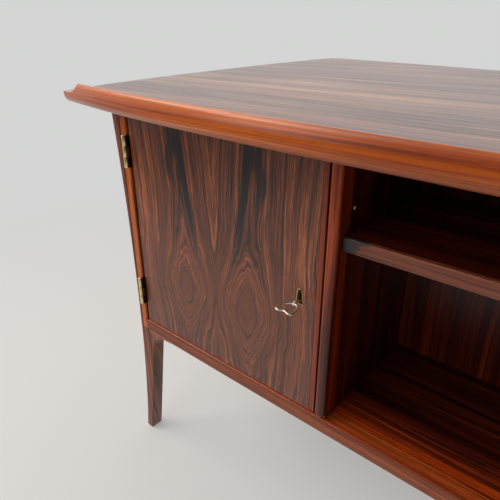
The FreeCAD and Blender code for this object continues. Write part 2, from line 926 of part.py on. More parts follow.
def drawer_side(x0, groove_x, span):
    low, high = box_span(span)
    y0 = back_rear + drawer_back_gap
    side = box(x0, x0 + drawer_side_thickness, y0, front_inside, low, high)
    z0 = runner_bottom(span)
    groove = box(groove_x, groove_x + runner_groove_depth, y0, front_inside - runner_stop,
                 z0 - runner_low_gap, z0 + runner_height + runner_top_gap)
    return side.cut(groove)


def drawer_box(span):
    """Two grooved sides, a back and a bottom, each a board of its own."""
    left = gable_inner + drawer_side_gap
    right = divider_outer - drawer_side_gap
    inner_left, inner_right = left + drawer_side_thickness, right - drawer_side_thickness
    low, high = box_span(span)
    y0 = back_rear + drawer_back_gap
    floor = low + drawer_bottom_rise
    floor_top = floor + drawer_bottom_thickness
    return [
        drawer_side(left, left, span),
        drawer_side(inner_right, right - runner_groove_depth, span),
        box(inner_left, inner_right, y0, front_inside, floor, floor_top),
        box(inner_left, inner_right, y0, y0 + drawer_back_thickness, floor_top, high - drawer_back_drop),
    ]


def drawer_runners():
    strips = []
    y0, y1 = back_rear + runner_back_gap, front_inside - runner_stop - runner_front_gap
    for span in drawer_spans():
        z0 = runner_bottom(span)
        for x0 in (gable_inner, divider_outer - runner_width):
            strips.append(box(x0, x0 + runner_width, y0, y1, z0, z0 + runner_height))
    return both_sides(strips)


# Cleats and screws that hold the top


def pedestal_cleat_starts():
    return [gable_inner, divider_outer - cleat_size]


def cleat_rows():
    """Screw places, for the left pedestal's cleats and then for the kneehole's."""
    y0, y1 = back_rear + cleat_end_gap, front_inside - cleat_end_gap
    spots = []
    for x0 in pedestal_cleat_starts():
        for place in range(screws_per_cleat):
            y = y0 + (y1 - y0) * (place + 0.5) / screws_per_cleat
            spots.append(Vector(x0 + cleat_size / 2, y, cleat_bottom))
    spots += [mirror_point(spot) for spot in spots]
    for place in range(screws_in_kneehole):
        x = divider_inner - 2 * divider_inner * (place + 0.5) / screws_in_kneehole
        spots.append(Vector(x, back_rear + cleat_size / 2, cleat_bottom))
    return spots


def screw_holes():
    length = cleat_size + screw_bite
    radius = screw_radius + screw_hole_clearance
    return [cylinder(radius, spot, Vector(0, 0, 1), length) for spot in cleat_rows()]


def top_cleats():
    y0, y1 = back_rear + cleat_end_gap, front_inside - cleat_end_gap
    battens = both_sides([box(x0, x0 + cleat_size, y0, y1, cleat_bottom, top_underside)
                          for x0 in pedestal_cleat_starts()])
    battens.append(box(divider_inner, -divider_inner, back_rear, back_rear + cleat_size,
                       cleat_bottom, top_underside))
    holes = group(screw_holes())
    return [batten.cut(holes) for batten in battens]


def top_screws():
    screws = []
    for spot in cleat_rows():
        head = cylinder(screw_head_radius, spot, Vector(0, 0, -1), screw_head_height)
        shank = cylinder(screw_radius, spot, Vector(0, 0, 1), cleat_size + screw_bite)
        screws.append(head.fuse(shank))
    return screws


# Nodes


def paired_nodes():
    """Pieces that the desk has once on the left and once, mirrored, on the right."""
    pairs = {
        "desktop_{}_edge": end_strip(),
        "{}_gable": gable(),
        "{}_divider": divider(),
        "{}_pedestal_bottom": pedestal_bottom(),
        "{}_cabinet_back": cabinet_back(),
        "visitor_{}_leg": leg(case_front),
        "user_{}_leg": leg(case_back - leg_thickness),
        "{}_door": door(),
        "{}_door_lipping": door_lipping(),
        "{}_door_hinge_leaves": group(hinge_door_leaves()),
        "{}_escutcheon": escutcheon(),
        "{}_lock_case": lock_case(),
        "{}_lock_bolt": lock_bolt(),
        "{}_key": key(),
    }
    names = ("lower", "middle", "upper")
    for name, span in zip(names, drawer_spans()):
        pairs["{}_" + name + "_drawer_front"] = drawer_front(span)
        pairs["{}_" + name + "_drawer_box"] = group(drawer_box(span))
    return pairs


def single_nodes():
    return {
        "desktop_panel": desktop_panel(),
        "desktop_visitor_lip": desktop_visitor_lip(),
        "desktop_user_edge": user_strip(),
        "gable_lippings": group(both_sides(gable_lippings())),
        "divider_nosings": group(both_sides(divider_nosings())),
        "bookcase_bottom": bookcase_bottom(),
        "visitor_rail": visitor_rail(),
        "user_rails": group(both_sides([user_rail()])),
        "bookcase_back": bookcase_back(),
        "bookcase_shelf": bookcase_shelf(),
        "bookcase_shelf_lipping": shelf_lipping(),
        "shelf_pins": group(shelf_pins()),
        "shelf_pin_sleeves": group(shelf_pin_sleeves()),
        "hinge_frame_leaves": group(both_sides(hinge_frame_leaves())),
        "hinge_pins": group(both_sides(hinge_pins())),
        "strike_plates": group(both_sides([strike_plate()])),
        "drawer_runners": group(drawer_runners()),
        "top_cleats": group(top_cleats()),
        "top_screws": group(top_screws()),
    }


def all_nodes():
    nodes = single_nodes()
    for name, shape in paired_nodes().items():
        nodes[name.format("left")] = shape
        nodes[name.format("right")] = mirrored(shape)
    return nodes


def main():
    os.makedirs("parts", exist_ok=True)
    nodes = all_nodes()
    for name, shape in nodes.items():
        shape.exportStep(os.path.join("parts", name + ".step"))
        print(name, len(shape.Solids), shape.isValid(), round(shape.Volume / 1000, 2))
    print(len(nodes), "nodes")


main()
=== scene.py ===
import json
import math

import bmesh
import bpy
from mathutils import Matrix, Vector
from mathutils.geometry import interpolate_bezier


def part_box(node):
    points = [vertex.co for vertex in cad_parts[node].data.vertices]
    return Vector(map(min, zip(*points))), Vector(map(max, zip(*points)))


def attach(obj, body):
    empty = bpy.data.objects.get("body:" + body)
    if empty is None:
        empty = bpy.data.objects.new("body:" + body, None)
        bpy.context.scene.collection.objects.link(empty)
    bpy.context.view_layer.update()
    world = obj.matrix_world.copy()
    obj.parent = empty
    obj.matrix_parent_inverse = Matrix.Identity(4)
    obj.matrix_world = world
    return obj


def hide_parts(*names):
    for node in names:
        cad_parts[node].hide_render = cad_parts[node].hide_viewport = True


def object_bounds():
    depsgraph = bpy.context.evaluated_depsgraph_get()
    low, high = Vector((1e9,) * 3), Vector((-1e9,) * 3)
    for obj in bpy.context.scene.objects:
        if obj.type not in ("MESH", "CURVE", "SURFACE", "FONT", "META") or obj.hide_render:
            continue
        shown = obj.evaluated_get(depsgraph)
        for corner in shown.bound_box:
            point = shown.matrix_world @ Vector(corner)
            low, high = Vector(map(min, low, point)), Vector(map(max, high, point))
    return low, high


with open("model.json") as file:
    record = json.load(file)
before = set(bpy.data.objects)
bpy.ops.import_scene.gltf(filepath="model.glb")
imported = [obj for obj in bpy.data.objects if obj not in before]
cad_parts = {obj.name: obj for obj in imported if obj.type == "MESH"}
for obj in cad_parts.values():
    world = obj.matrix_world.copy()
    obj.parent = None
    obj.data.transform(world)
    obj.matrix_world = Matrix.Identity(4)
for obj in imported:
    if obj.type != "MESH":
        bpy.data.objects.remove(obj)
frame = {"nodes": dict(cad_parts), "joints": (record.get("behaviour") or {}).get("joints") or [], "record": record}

# Rosewood executive desk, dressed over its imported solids. Lengths in the dictionaries are millimetres.
mm = 0.001
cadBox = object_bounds()
cadNodes = frame["nodes"]
record = frame["record"]
bodyOf = {node: body for body, members in record["behaviour"]["bodies"].items() for node in members}
jointAt = {joint["name"]: joint for joint in frame["joints"]}
sides = {"left": 1, "right": -1}  # the sign points along X, from an end of the desk to its middle
upward = (0, 0, 1)
bpy.context.scene.view_settings.view_transform = "Standard"


# Small tools

def toLinear(hexColour):
    shares = [int(hexColour[start:start + 2], 16) / 255 for start in (1, 3, 5)]
    return [c / 12.92 if c <= 0.04045 else ((c + 0.055) / 1.055) ** 2.4 for c in shares] + [1.0]


def addNode(tree, kind, sockets=(), **settings):  # a node given as a socket's value links its first output
    node = tree.nodes.new(kind if "Node" in kind else "ShaderNode" + kind)
    for name, value in settings.items():
        setattr(node, name, value)
    for socket, value in sockets.items() if isinstance(sockets, dict) else enumerate(sockets):
        if isinstance(value, bpy.types.Node):
            value = value.outputs[0]
        if isinstance(value, bpy.types.NodeSocket):
            tree.links.new(value, node.inputs[socket])
        else:
            node.inputs[socket].default_value = value
    return node


def newObject(name, data):
    piece = bpy.data.objects.new(name, data)
    bpy.context.scene.collection.objects.link(piece)
    return piece


def meshPiece(name, points=(), faces=()):
    mesh = bpy.data.meshes.new(name)
    mesh.from_pydata([Vector(point) for point in points], [], faces)
    mesh.update()
    return newObject(name, mesh)


def settle(piece, smoothAngle=35):  # bakes modifiers into a plain mesh with outward, smooth faces
    graph = bpy.context.evaluated_depsgraph_get()
    mesh = bpy.data.meshes.new_from_object(piece.evaluated_get(graph))
    piece.modifiers.clear()
    if piece.type == "MESH":
        piece.data = mesh
    else:
        name = piece.name
        bpy.data.objects.remove(piece)
        piece = newObject(name, mesh)
    work = bmesh.new()
    work.from_mesh(mesh)
    bmesh.ops.remove_doubles(work, verts=work.verts, dist=1e-7)
    bmesh.ops.recalc_face_normals(work, faces=work.faces)
    work.to_mesh(mesh)
    work.free()
    mesh.shade_smooth()
    mesh.set_sharp_from_angle(angle=math.radians(smoothAngle))
    return piece


softEdge = {"angle": 40.0, "stripShare": 0.85, "boxSteps": 4, "copySteps": 2, "flatAngle": 1.0}


def soften(piece, width, segments):
    bevel = piece.modifiers.new("softEdge", "BEVEL")
    bevel.width = width * mm
    bevel.segments = segments
    bevel.limit_method = "ANGLE"
    bevel.angle_limit = math.radians(softEdge["angle"])
    piece = settle(piece)
    mesh = piece.data
    for face in mesh.polygons:  # broad flat faces keep their true normals, the bevel strips blend
        corners = [mesh.vertices[index].co for index in face.vertices]
        girth = sum((corner - corners[index - 1]).length for index, corner in enumerate(corners))
        face.use_smooth = 2 * face.area < softEdge["stripShare"] * width * mm * girth
    return piece


def joined(name, pieces):
    work = bmesh.new()
    for piece in pieces:
        work.from_mesh(piece.data)
        bpy.data.objects.remove(piece)
    mesh = bpy.data.meshes.new(name)
    work.to_mesh(mesh)
    work.free()
    return newObject(name, mesh)


def coat(piece, finish):
    piece.data.materials.clear()
    piece.data.materials.append(finishes[finish])


def addPiece(piece, node, finish):  # a piece of its own that rides with the node
    coat(piece, finish)
    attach(piece, bodyOf[node])


def dress(piece, node, finish):  # a piece that stands for the node
    addPiece(piece, node, finish)
    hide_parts(node)


def solidBoxes(node):  # corners of every separate solid in a node, in the order left to right, front to back
    work = bmesh.new()
    work.from_mesh(cadNodes[node].data)
    bmesh.ops.remove_doubles(work, verts=work.verts, dist=1e-6)
    left = set(work.verts)
    boxes = []
    while left:
        reached = [left.pop()]
        for vert in reached:
            near = [edge.other_vert(vert) for edge in vert.link_edges]
            fresh = [other for other in near if other in left]
            left.difference_update(fresh)
            reached.extend(fresh)
        places = [vert.co for vert in reached]
        low = Vector([min(place[axis] for place in places) for axis in range(3)])
        high = Vector([max(place[axis] for place in places) for axis in range(3)])
        boxes.append((low, high))
    work.free()
    return sorted(boxes, key=lambda box: [round(value, 4) for value in box[0]])


def facingMiddle(low, high):  # the sign along X to the desk's middle, and where the box ends on that side
    return (1, high.x) if low.x < 0 else (-1, low.x)


def block(name, low, high):
    corners = [(x, y, z) for x in (low[0], high[0]) for y in (low[1], high[1]) for z in (low[2], high[2])]
    faces = [(0, 1, 3, 2), (4, 6, 7, 5), (0, 4, 5, 1), (2, 3, 7, 6), (0, 2, 6, 4), (1, 5, 7, 3)]
    return meshPiece(name, corners, faces)


def softBoxes(name, node, width):  # every solid of the node is a bar with rounded edges
    bars = [soften(block(name, low, high), width, softEdge["boxSteps"]) for low, high in solidBoxes(node)]
    return joined(name, bars)


def softCopy(name, node, width):  # the node's own shape with its hard edges eased
    mesh = cadNodes[node].data.copy()
    mesh.name = name
    work = bmesh.new()
    work.from_mesh(mesh)
    bmesh.ops.remove_doubles(work, verts=work.verts, dist=1e-6)
    flat = math.radians(softEdge["flatAngle"])
    bmesh.ops.dissolve_limit(work, angle_limit=flat, verts=work.verts, edges=work.edges)
    work.to_mesh(mesh)
    work.free()
    return soften(newObject(name, mesh), width, softEdge["copySteps"])


def lofted(name, rings, smoothAngle=35):  # closed skin over rings of points, with flat ends
    count = len(rings[0])
    last = (len(rings) - 1) * count
    faces = []
    for row in range(0, last, count):
        for step in range(count):
            here, there = row + step, row + (step + 1) % count
            faces.append((here, there, there + count, here + count))
    faces += [tuple(range(count)), tuple(range(last, last + count))]
    return settle(meshPiece(name, [point for ring in rings for point in ring], faces), smoothAngle)


def turned(name, base, profile, steps, axis=upward):  # (radius, height) in millimetres, spun about an axis
    spin = Vector(upward).rotation_difference(Vector(axis)).to_matrix()
    points, faces, rows = [], [], len(profile)
    for step in range(steps):
        turn = 2 * math.pi * step / steps
        for radius, height in profile:
            point = Vector((radius * math.cos(turn), radius * math.sin(turn), height)) * mm
            points.append(Vector(base) + spin @ point)
        here, there = step * rows, (step + 1) % steps * rows
        faces += [(here + row, there + row, there + row + 1, here + row + 1) for row in range(rows - 1)]
    return settle(meshPiece(name, points, faces))


def bothEnds(foot, length):  # a profile whose head mirrors its foot
    return foot + [(radius, length - height) for radius, height in reversed(foot)]


def sweepAngle(centre, start, end):
    first, last = start - centre, end - centre
    return math.atan2(first.x * last.y - first.y * last.x, first.dot(last))


def arcByShares(centre, start, end, shares, via=None):
    sweep = sweepAngle(centre, start, end)
    if via is not None:
        toVia = sweepAngle(centre, start, via)
        if toVia * sweep < 0 or abs(toVia) > abs(sweep):
            sweep -= math.copysign(2 * math.pi, sweep)
    return [centre + Matrix.Rotation(sweep * share, 2) @ (start - centre) for share in shares]


def aboutCentre(centre, start, end, count, via=None):
    return arcByShares(centre, start, end, [step / count for step in range(count + 1)], via)


def arcPoints(start, middle, end, count):  # points of the circle through three plan points
    a, b, c = Vector(start), Vector(middle), Vector(end)
    turn = 2 * (a.x * (b.y - c.y) + b.x * (c.y - a.y) + c.x * (a.y - b.y))
    x = (a.dot(a) * (b.y - c.y) + b.dot(b) * (c.y - a.y) + c.dot(c) * (a.y - b.y)) / turn
    y = (a.dot(a) * (c.x - b.x) + b.dot(b) * (a.x - c.x) + c.dot(c) * (b.x - a.x)) / turn
    return aboutCentre(Vector((x, y)), a, c, count, b)


def tangentCentre(start, inward, through):  # middle of the arc that leaves start square to inward
    chord = through - start
    return start + inward * (chord.dot(chord) / (2 * chord.dot(inward)))


def polyline(name, points, closed=False):
    curve = bpy.data.curves.new(name, "CURVE")
    curve.dimensions = "3D"
    spline = curve.splines.new("POLY")
    spline.points.add(len(points) - 1)
    for spot, point in zip(spline.points, points):
        spot.co = (*(value * mm for value in point), 1.0)
    spline.use_cyclic_u = closed
    return newObject(name, curve)


def newTree(name, kinds):  # a geometry tree with these inputs, and the sockets that give them
    tree = bpy.data.node_groups.new(name, "GeometryNodeTree")
    for socket, kind in {"Geometry": "Geometry", **kinds}.items():
        tree.interface.new_socket(socket, in_out="INPUT", socket_type="NodeSocket" + kind)
    tree.interface.new_socket("Geometry", in_out="OUTPUT", socket_type="NodeSocketGeometry")
    return tree, addNode(tree, "NodeGroupInput").outputs


def closeTree(tree, geometry, finish):
    whole = addNode(tree, "GeometryNodeRealizeInstances", [geometry])
    coated = addNode(tree, "GeometryNodeSetMaterial", {"Geometry": whole, "Material": finish})
    addNode(tree, "NodeGroupOutput", [coated])


def runTree(piece, tree, values, smoothAngle=35):
    modifier = piece.modifiers.new(tree.name, "NODES")
    modifier.node_group = tree
    for socket in tree.interface.items_tree:
        if socket.in_out == "INPUT" and socket.name in values:
            modifier[socket.identifier] = values[socket.name]
    return settle(piece, smoothAngle)


# Finishes

smooth = {"interpolation_type": "SMOOTHSTEP"}
board = {
    "at": (0.34, 0.45, 0.55, 0.66), "waves": [(14.0, 70.0, 0.12), (2.5, 16.0, 0.15)], "drift": 0.012,
    "slice": 3.0, "depthShare": 0.35, "bandWidth": 16.0, "lineWidth": 2.6, "lineDetail": 2.0,
    "fineShare": 0.5, "inkWidth": 4.0, "inkFrom": 0.56, "inkEdge": 0.08, "inkDepth": 0.7,
    "poreWidth": 0.9, "poreRun": 0.05, "poreEdge": (0.54, 0.68), "poreDepth": 0.45, "poreBump": 0.12,
    "poreHollow": 0.2, "rough": 0.34, "roughSpread": 0.05, "lineRange": (0.3, 0.7), "gloss": 0.45,
}


def newMaterial(name):
    material = bpy.data.materials.new(name)
    material.use_nodes = True
    material.node_tree.nodes.clear()
    return material, material.node_tree


# oiled wood: dark pigment lines wander in a warm ground, with short open pores and a satin sheen
def oiledWood(name, axes, tones, ink, **changes):  # axes run along the grain, across it and into the board
    look = {**board, **changes}
    figure = look.get("figure")
    material, tree = newMaterial(name)
    place = addNode(tree, "TexCoord").outputs["Object"]
    inMm = addNode(tree, "VectorMath", {0: place, "Scale": 1 / mm}, operation="SCALE")
    split = addNode(tree, "SeparateXYZ", [inMm]).outputs
    along, across, depth = [split[axis] for axis in axes]
    if figure:
        beside, rise = besideAlmond(tree, figure, along, across)
        ring = almondRing(tree, figure, beside, rise)
    else:
        ring = addNode(tree, "Math", [depth, look["depthShare"], across], operation="MULTIPLY_ADD")
    for size, width, slowness in look["waves"]:  # the lines wander, slowly and then in finer ripples
        slow = addNode(tree, "Math", [along, slowness], operation="MULTIPLY")
        flow = addNode(tree, "CombineXYZ", [slow, across, depth])
        wave = addNode(tree, "TexNoise", {"Vector": flow, "Scale": 1 / width, "Detail": 1.0})
        shift = addNode(tree, "Math", [wave, 2.0 * size, -size], operation="MULTIPLY_ADD")
        if figure:  # the tails run straighter than the eyes
            calm = addNode(tree, "MapRange", [rise, *figure["calmRise"], 1.0, figure["calm"]], **smooth)
            shift = addNode(tree, "Math", [shift, calm], operation="MULTIPLY")
        ring = addNode(tree, "Math", [ring, shift], operation="ADD")
    long = addNode(tree, "Math", [along, look["drift"]], operation="MULTIPLY")
    lines = addNode(tree, "CombineXYZ", [ring, long, look["slice"]])
    bands = addNode(tree, "TexNoise", {"Vector": lines, "Scale": 1 / look["bandWidth"], "Detail": 1.0,
                                       "Roughness": 0.5})
    fine = addNode(tree, "TexNoise", {"Vector": lines, "Scale": 1 / look["lineWidth"],
                                      "Detail": look["lineDetail"], "Roughness": 0.6})
    tone = addNode(tree, "Mix", {0: look["fineShare"], 2: bands, 3: fine})
    if look.get("cloud"):  # broad paler and darker patches
        patch, amount = look["cloud"]
        cloud = addNode(tree, "TexNoise", {"Vector": inMm, "Scale": 1 / patch, "Detail": 1.0})
        cloud = addNode(tree, "Math", [cloud, amount, -amount / 2], operation="MULTIPLY_ADD")
        tone = addNode(tree, "Math", [tone, cloud], operation="ADD")
    if figure:
        bold = almondBands(tree, figure, ring)
        eye = addNode(tree, "MapRange", [ring, *figure["eyeSize"], figure["eyeShare"], 0.0], **smooth)
        share = addNode(tree, "Math", [eye, figure["share"]], operation="MAXIMUM")
        tone = addNode(tree, "Mix", {0: share, 2: tone, 3: bold})
        lively = patchyLines(tree, figure, inMm, rise)
        tone = addNode(tree, "Math", [tone, 0.5], operation="SUBTRACT")
        tone = addNode(tree, "Math", [tone, lively, 0.5], operation="MULTIPLY_ADD")
    ramp = addNode(tree, "ValToRGB", [tone])
    setStops(ramp.color_ramp, [(at, toLinear(colour)) for at, colour in zip(look["at"], tones)])
    inkNoise = addNode(tree, "TexNoise", {"Vector": lines, "Scale": 1 / look["inkWidth"], "Detail": 1.0,
                                          "Roughness": 0.5})
    inkFull = look["inkFrom"] + look["inkEdge"]
    inked = addNode(tree, "MapRange", [inkNoise, look["inkFrom"], inkFull, 0.0, look["inkDepth"]], **smooth)
    if figure:
        inked = addNode(tree, "Math", [inked, lively], operation="MULTIPLY", use_clamp=True)
        inked = addNode(tree, "Mix", {0: eye, 2: inked, 3: 0.0})  # the eyes stay clear
    stainsAndPaintedLight = [(inked, toLinear(ink), "MIX")]
    if figure:
        stainsAndPaintedLight.append((heartFlame(tree, figure, beside, rise, fine), toLinear(figure["flameInk"]), "MIX"))
    # pores, short dashes along the grain, drawn wider than real ones so that they show
    dash = addNode(tree, "Math", [along, look["poreRun"]], operation="MULTIPLY")
    grain = addNode(tree, "CombineXYZ", [dash, across, depth])
    poreNoise = addNode(tree, "TexNoise", {"Vector": grain, "Scale": 1 / look["poreWidth"], "Detail": 1.0})
    pore = addNode(tree, "MapRange", [poreNoise, *look["poreEdge"], 0.0, look["poreDepth"]], **smooth)
    stainsAndPaintedLight.append((pore, toLinear(ink), "MIX"))
    for axis, full, gone, gain in look.get("bleach", []):  # painted light and shade: the colour is raised or lowered along an axis, where light falls on the board or misses it
        paintedShare = addNode(tree, "MapRange", [split[axis], full, gone, 1.0, 0.0], **smooth)
        stainsAndPaintedLight.append((paintedShare, [*gain, 1.0], "MULTIPLY"))
    if look.get("mark"):
        stainsAndPaintedLight.append((wornMark(tree, look["mark"], inMm, split), toLinear(look["mark"]["colour"]), "MIX"))
    colour = ramp.outputs[0]
    for amount, overlayColour, blend in stainsAndPaintedLight:
        colour = addNode(tree, "Mix", {0: amount, 6: colour, 7: overlayColour}, data_type="RGBA",
                         blend_type=blend).outputs[2]
    dull, bright = look["rough"] + look["roughSpread"], look["rough"] - look["roughSpread"]
    rough = addNode(tree, "MapRange", [fine, *look["lineRange"], dull, bright])
    bump = addNode(tree, "Bump", {"Strength": look["poreBump"], "Distance": look["poreHollow"] * mm,
                                  "Height": pore}, invert=True)
    shader = addNode(tree, "BsdfPrincipled", {"Base Color": colour, "Roughness": rough, "Normal": bump,
                                              "IOR": 1.5, "Specular IOR Level": look["gloss"]})
    addNode(tree, "OutputMaterial", [shader])
    return material


def setStops(ramp, stops):
    ramp.elements[0].position, ramp.elements[1].position = stops[0][0], stops[-1][0]
    for position, _ in stops[1:-1]:
        ramp.elements.new(position)
    for element, (_, colour) in zip(ramp.elements, stops):
        element.color = colour


def besideAlmond(tree, figure, along, across):  # place beside and above the eye, alike in both leaves
    fromMiddle = addNode(tree, "Math", [across], operation="ABSOLUTE")
    offset = addNode(tree, "Math", [fromMiddle, figure["jointX"]], operation="SUBTRACT")
    fromJoint = addNode(tree, "Math", [offset], operation="ABSOLUTE")
    rise = addNode(tree, "Math", [along, figure["eyeHeight"]], operation="SUBTRACT")
    square = addNode(tree, "Math", [rise, rise], operation="MULTIPLY")
    bow = figure["axisBow"] / figure["reach"] ** 2
    axis = addNode(tree, "Math", [square, bow, figure["eyeFromJoint"]], operation="MULTIPLY_ADD")
    return addNode(tree, "Math", [fromJoint, axis], operation="SUBTRACT"), rise


def almondRing(tree, figure, beside, rise):  # nested almonds that draw out into long tails
    halves = []
    for tail, pick in ((figure["tailUp"], "MAXIMUM"), (figure["tailDown"], "MINIMUM")):
        half = addNode(tree, "Math", [rise, 0.0], operation=pick)
        half = addNode(tree, "Math", [half, 1 / tail], operation="MULTIPLY")
        halves.append(addNode(tree, "Math", [half], operation="TANH"))
    height = addNode(tree, "Math", halves, operation="ADD")
    height = addNode(tree, "Math", [height, figure["half"]], operation="MULTIPLY")
    apart = addNode(tree, "CombineXYZ", [beside, height, figure["blunt"]])
    ring = addNode(tree, "VectorMath", [apart], operation="LENGTH").outputs["Value"]
    aside = addNode(tree, "Math", [beside], operation="ABSOLUTE")
    return addNode(tree, "Math", [aside, figure["spread"], ring], operation="MULTIPLY_ADD")


def almondBands(tree, figure, ring):  # the broad light and dark growth bands of the figure
    reach = figure["bandReach"]
    share = addNode(tree, "Math", [ring, 1 / reach], operation="MULTIPLY")
    ramp = addNode(tree, "ValToRGB", [share])
    setStops(ramp.color_ramp, [(at / reach, (grey, grey, grey, 1.0)) for at, grey in figure["bands"]])
    return addNode(tree, "RGBToBW", [ramp])


def patchyLines(tree, figure, inMm, rise):  # lines come and go in patches, and are quieter about the eyes
    patch = addNode(tree, "TexNoise", {"Vector": inMm, "Scale": 1 / figure["patch"], "Detail": 1.0})
    lively = addNode(tree, "MapRange", [patch, *figure["patchRange"]])
    upper = addNode(tree, "MapRange", [rise, *figure["quietRise"], figure["eyeContrast"], 1.0], **smooth)
    return addNode(tree, "Math", [lively, upper], operation="MULTIPLY")


def heartFlame(tree, figure, beside, rise, fine):  # black heartwood inside, and a short tongue outside
    slow = addNode(tree, "Math", [rise, -1 / figure["flameTail"]], operation="MULTIPLY")
    taper = addNode(tree, "Math", [slow], operation="EXPONENT")
    flank = addNode(tree, "Math", [taper, figure["flameFlank"]], operation="MULTIPLY")
    inner = addNode(tree, "MapRange", [beside, *figure["innerEdge"], 1.0, 0.0])
    swell = addNode(tree, "MapRange", [rise, *figure["tongueFrom"], 0.0, figure["tongueSwell"]], **smooth)
    close = addNode(tree, "MapRange", [rise, *figure["tongueTo"], 1.0, 0.0], **smooth)
    swell = addNode(tree, "Math", [swell, close], operation="MULTIPLY")
    swell = addNode(tree, "Mix", {0: inner, 2: swell, 3: 0.0})
    flank = addNode(tree, "Math", [flank, swell], operation="ADD")
    aside = addNode(tree, "Math", [beside], operation="ABSOLUTE")
    away = addNode(tree, "Math", [aside, flank], operation="SUBTRACT")
    away = addNode(tree, "Math", [away], operation="ABSOLUTE")
    ragged = addNode(tree, "Math", [fine, figure["flameRag"], away], operation="MULTIPLY_ADD")
    width = addNode(tree, "MapRange", [rise, *figure["flameRun"], *figure["flameHalf"]])
    width = addNode(tree, "Math", [width, figure["flameRag"] / 2], operation="ADD")
    inside = addNode(tree, "Math", [width, figure["flameCore"]], operation="MULTIPLY")
    band = addNode(tree, "MapRange", [ragged, width, inside, 0.0, 1.0], **smooth)
    reach = {}
    for side, (foot, full, depth) in figure["flameRise"].items():
        reach[side] = addNode(tree, "MapRange", [rise, foot, full, 0.0, depth], **smooth)
    depth = addNode(tree, "Mix", {0: inner, 2: reach["outer"], 3: reach["inner"]})
    crown = addNode(tree, "MapRange", [rise, *figure["crownFade"]], **smooth)
    depth = addNode(tree, "Math", [depth, crown], operation="MULTIPLY")
    return addNode(tree, "Math", [band, depth], operation="MULTIPLY")


def wornMark(tree, mark, inMm, split):  # an old dark stain that frays along the grain
    fray = addNode(tree, "VectorMath", [inMm, mark["fray"]], operation="MULTIPLY")
    cloud = addNode(tree, "TexNoise", {"Vector": fray, "Scale": 1.0, "Detail": 3.0})
    run = addNode(tree, "MapRange", [split["X"], *mark["run"]])
    climb = addNode(tree, "MapRange", [split["Z"], *mark["climb"]])
    both = addNode(tree, "Math", [run, climb], operation="ADD")
    both = addNode(tree, "Math", [both, cloud], operation="ADD")
    return addNode(tree, "MapRange", [both, *mark["edge"], 0.0, mark["depth"]], **smooth)


metal = {"patchesPerMetre": 220.0, "tintRange": (0.35, 0.75), "dullShare": 0.55, "roughRange": (0.3, 0.7),
         "roughRise": 0.12}


def wipedMetal(name, colour, rough, scratch):  # turned or pressed metal, clouded by wiping
    material, tree = newMaterial(name)
    place = addNode(tree, "TexCoord").outputs["Object"]
    cloud = addNode(tree, "TexNoise", {"Vector": place, "Scale": metal["patchesPerMetre"], "Detail": 4.0})
    tint = addNode(tree, "MapRange", [cloud, *metal["tintRange"], 0.0, scratch])
    dull = [share * metal["dullShare"] for share in toLinear(colour)[:3]] + [1.0]
    shade = addNode(tree, "Mix", {0: tint, 6: toLinear(colour), 7: dull}, data_type="RGBA").outputs[2]
    gloss = addNode(tree, "MapRange", [cloud, *metal["roughRange"], rough, rough + metal["roughRise"]])
    shader = addNode(tree, "BsdfPrincipled", {"Base Color": shade, "Roughness": gloss, "Metallic": 1.0})
    addNode(tree, "OutputMaterial", [shader])
    return material


tones = {  # ground of each wood, from its darkest lines to its palest
    "top": ("#3f2419", "#653c29", "#87563c", "#ad7a54"),
    "lip": ("#80310a", "#a04812", "#b35818", "#c86c26"),
    "upright": ("#3a150c", "#4e2013", "#5d2818", "#6f341f"),
    "closing": ("#571b0a", "#742a10", "#883617", "#9d4622"),
    "door": ("#1c0b07", "#441e0f", "#72381c", "#a2592d"),
    "front": ("#2c130a", "#562811", "#7d411d", "#a0602f"),
    # the gable tones are a paler, painted lit copy of the case tones for its outer face; the case and bottom tones
    # are darkened as painted shade for the bookcase's inside
    "gable": ("#3a180c", "#673018", "#8c4a24", "#b06c38"),
    "case": ("#1d0503", "#3d0d05", "#591a09", "#75280d"),
    "bottom": ("#120302", "#2a0803", "#3f1206", "#571d0a"),
    "shelf": ("#582918", "#703722", "#84462d", "#9b5d43"),
    "rail": ("#4e2010", "#70351e", "#874325", "#9f5630"),
    "leg": ("#4b2518", "#6b3b29", "#814b35", "#996045"),
    "oak": ("#a5815a", "#c7a67c"),
    "maple": ("#d8b996", "#ecd7ba"),
}
edgeWaves = [(4.0, 60.0, 0.06), (0.8, 12.0, 0.08)]
doorLow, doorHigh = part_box("left_door")
doorFigure = {  # two mirrored leaves, each with an almond eye low down and black flames over it
    "jointX": -(doorLow.x + doorHigh.x) / 2 / mm, "eyeHeight": doorLow.z / mm + 120.0,
    "eyeFromJoint": 67.0, "eyeSize": (24.0, 44.0), "eyeShare": 0.6, "eyeContrast": 0.7,
    "quietRise": (20.0, 140.0), "share": 0.2, "axisBow": 10.0, "reach": 245.0, "half": 60.0,
    "tailUp": 75.0, "tailDown": 65.0, "blunt": 22.0, "spread": 0.45, "calm": 0.3,
    "calmRise": (40.0, 170.0), "patch": 20.0, "patchRange": (0.35, 0.65, 0.75, 1.25),
    "flameInk": "#0f0a09", "flameRag": 8.0, "flameRun": (60.0, 230.0), "flameHalf": (7.0, 12.5),
    "flameCore": 0.65, "flameFlank": 60.0, "flameTail": 112.0, "innerEdge": (-3.0, 5.0),
    "crownFade": (240.0, 272.0, 1.0, 0.2),
    "flameRise": {"inner": (60.0, 150.0, 0.95), "outer": (150.0, 195.0, 0.8)}, "tongueSwell": 9.0,
    "tongueFrom": (160.0, 205.0), "tongueTo": (210.0, 245.0), "bandReach": 150.0,
    "bands": [(0, 0.52), (24, 0.60), (31, 0.46), (38, 0.58), (46, 0.46), (56, 0.58), (65, 0.52),
              (74, 0.44), (82, 0.46), (92, 0.56), (101, 0.52), (110, 0.44), (121, 0.55), (132, 0.46),
              (142, 0.54), (150, 0.5)],
}
shelfLow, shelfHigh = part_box("bookcase_shelf_lipping")
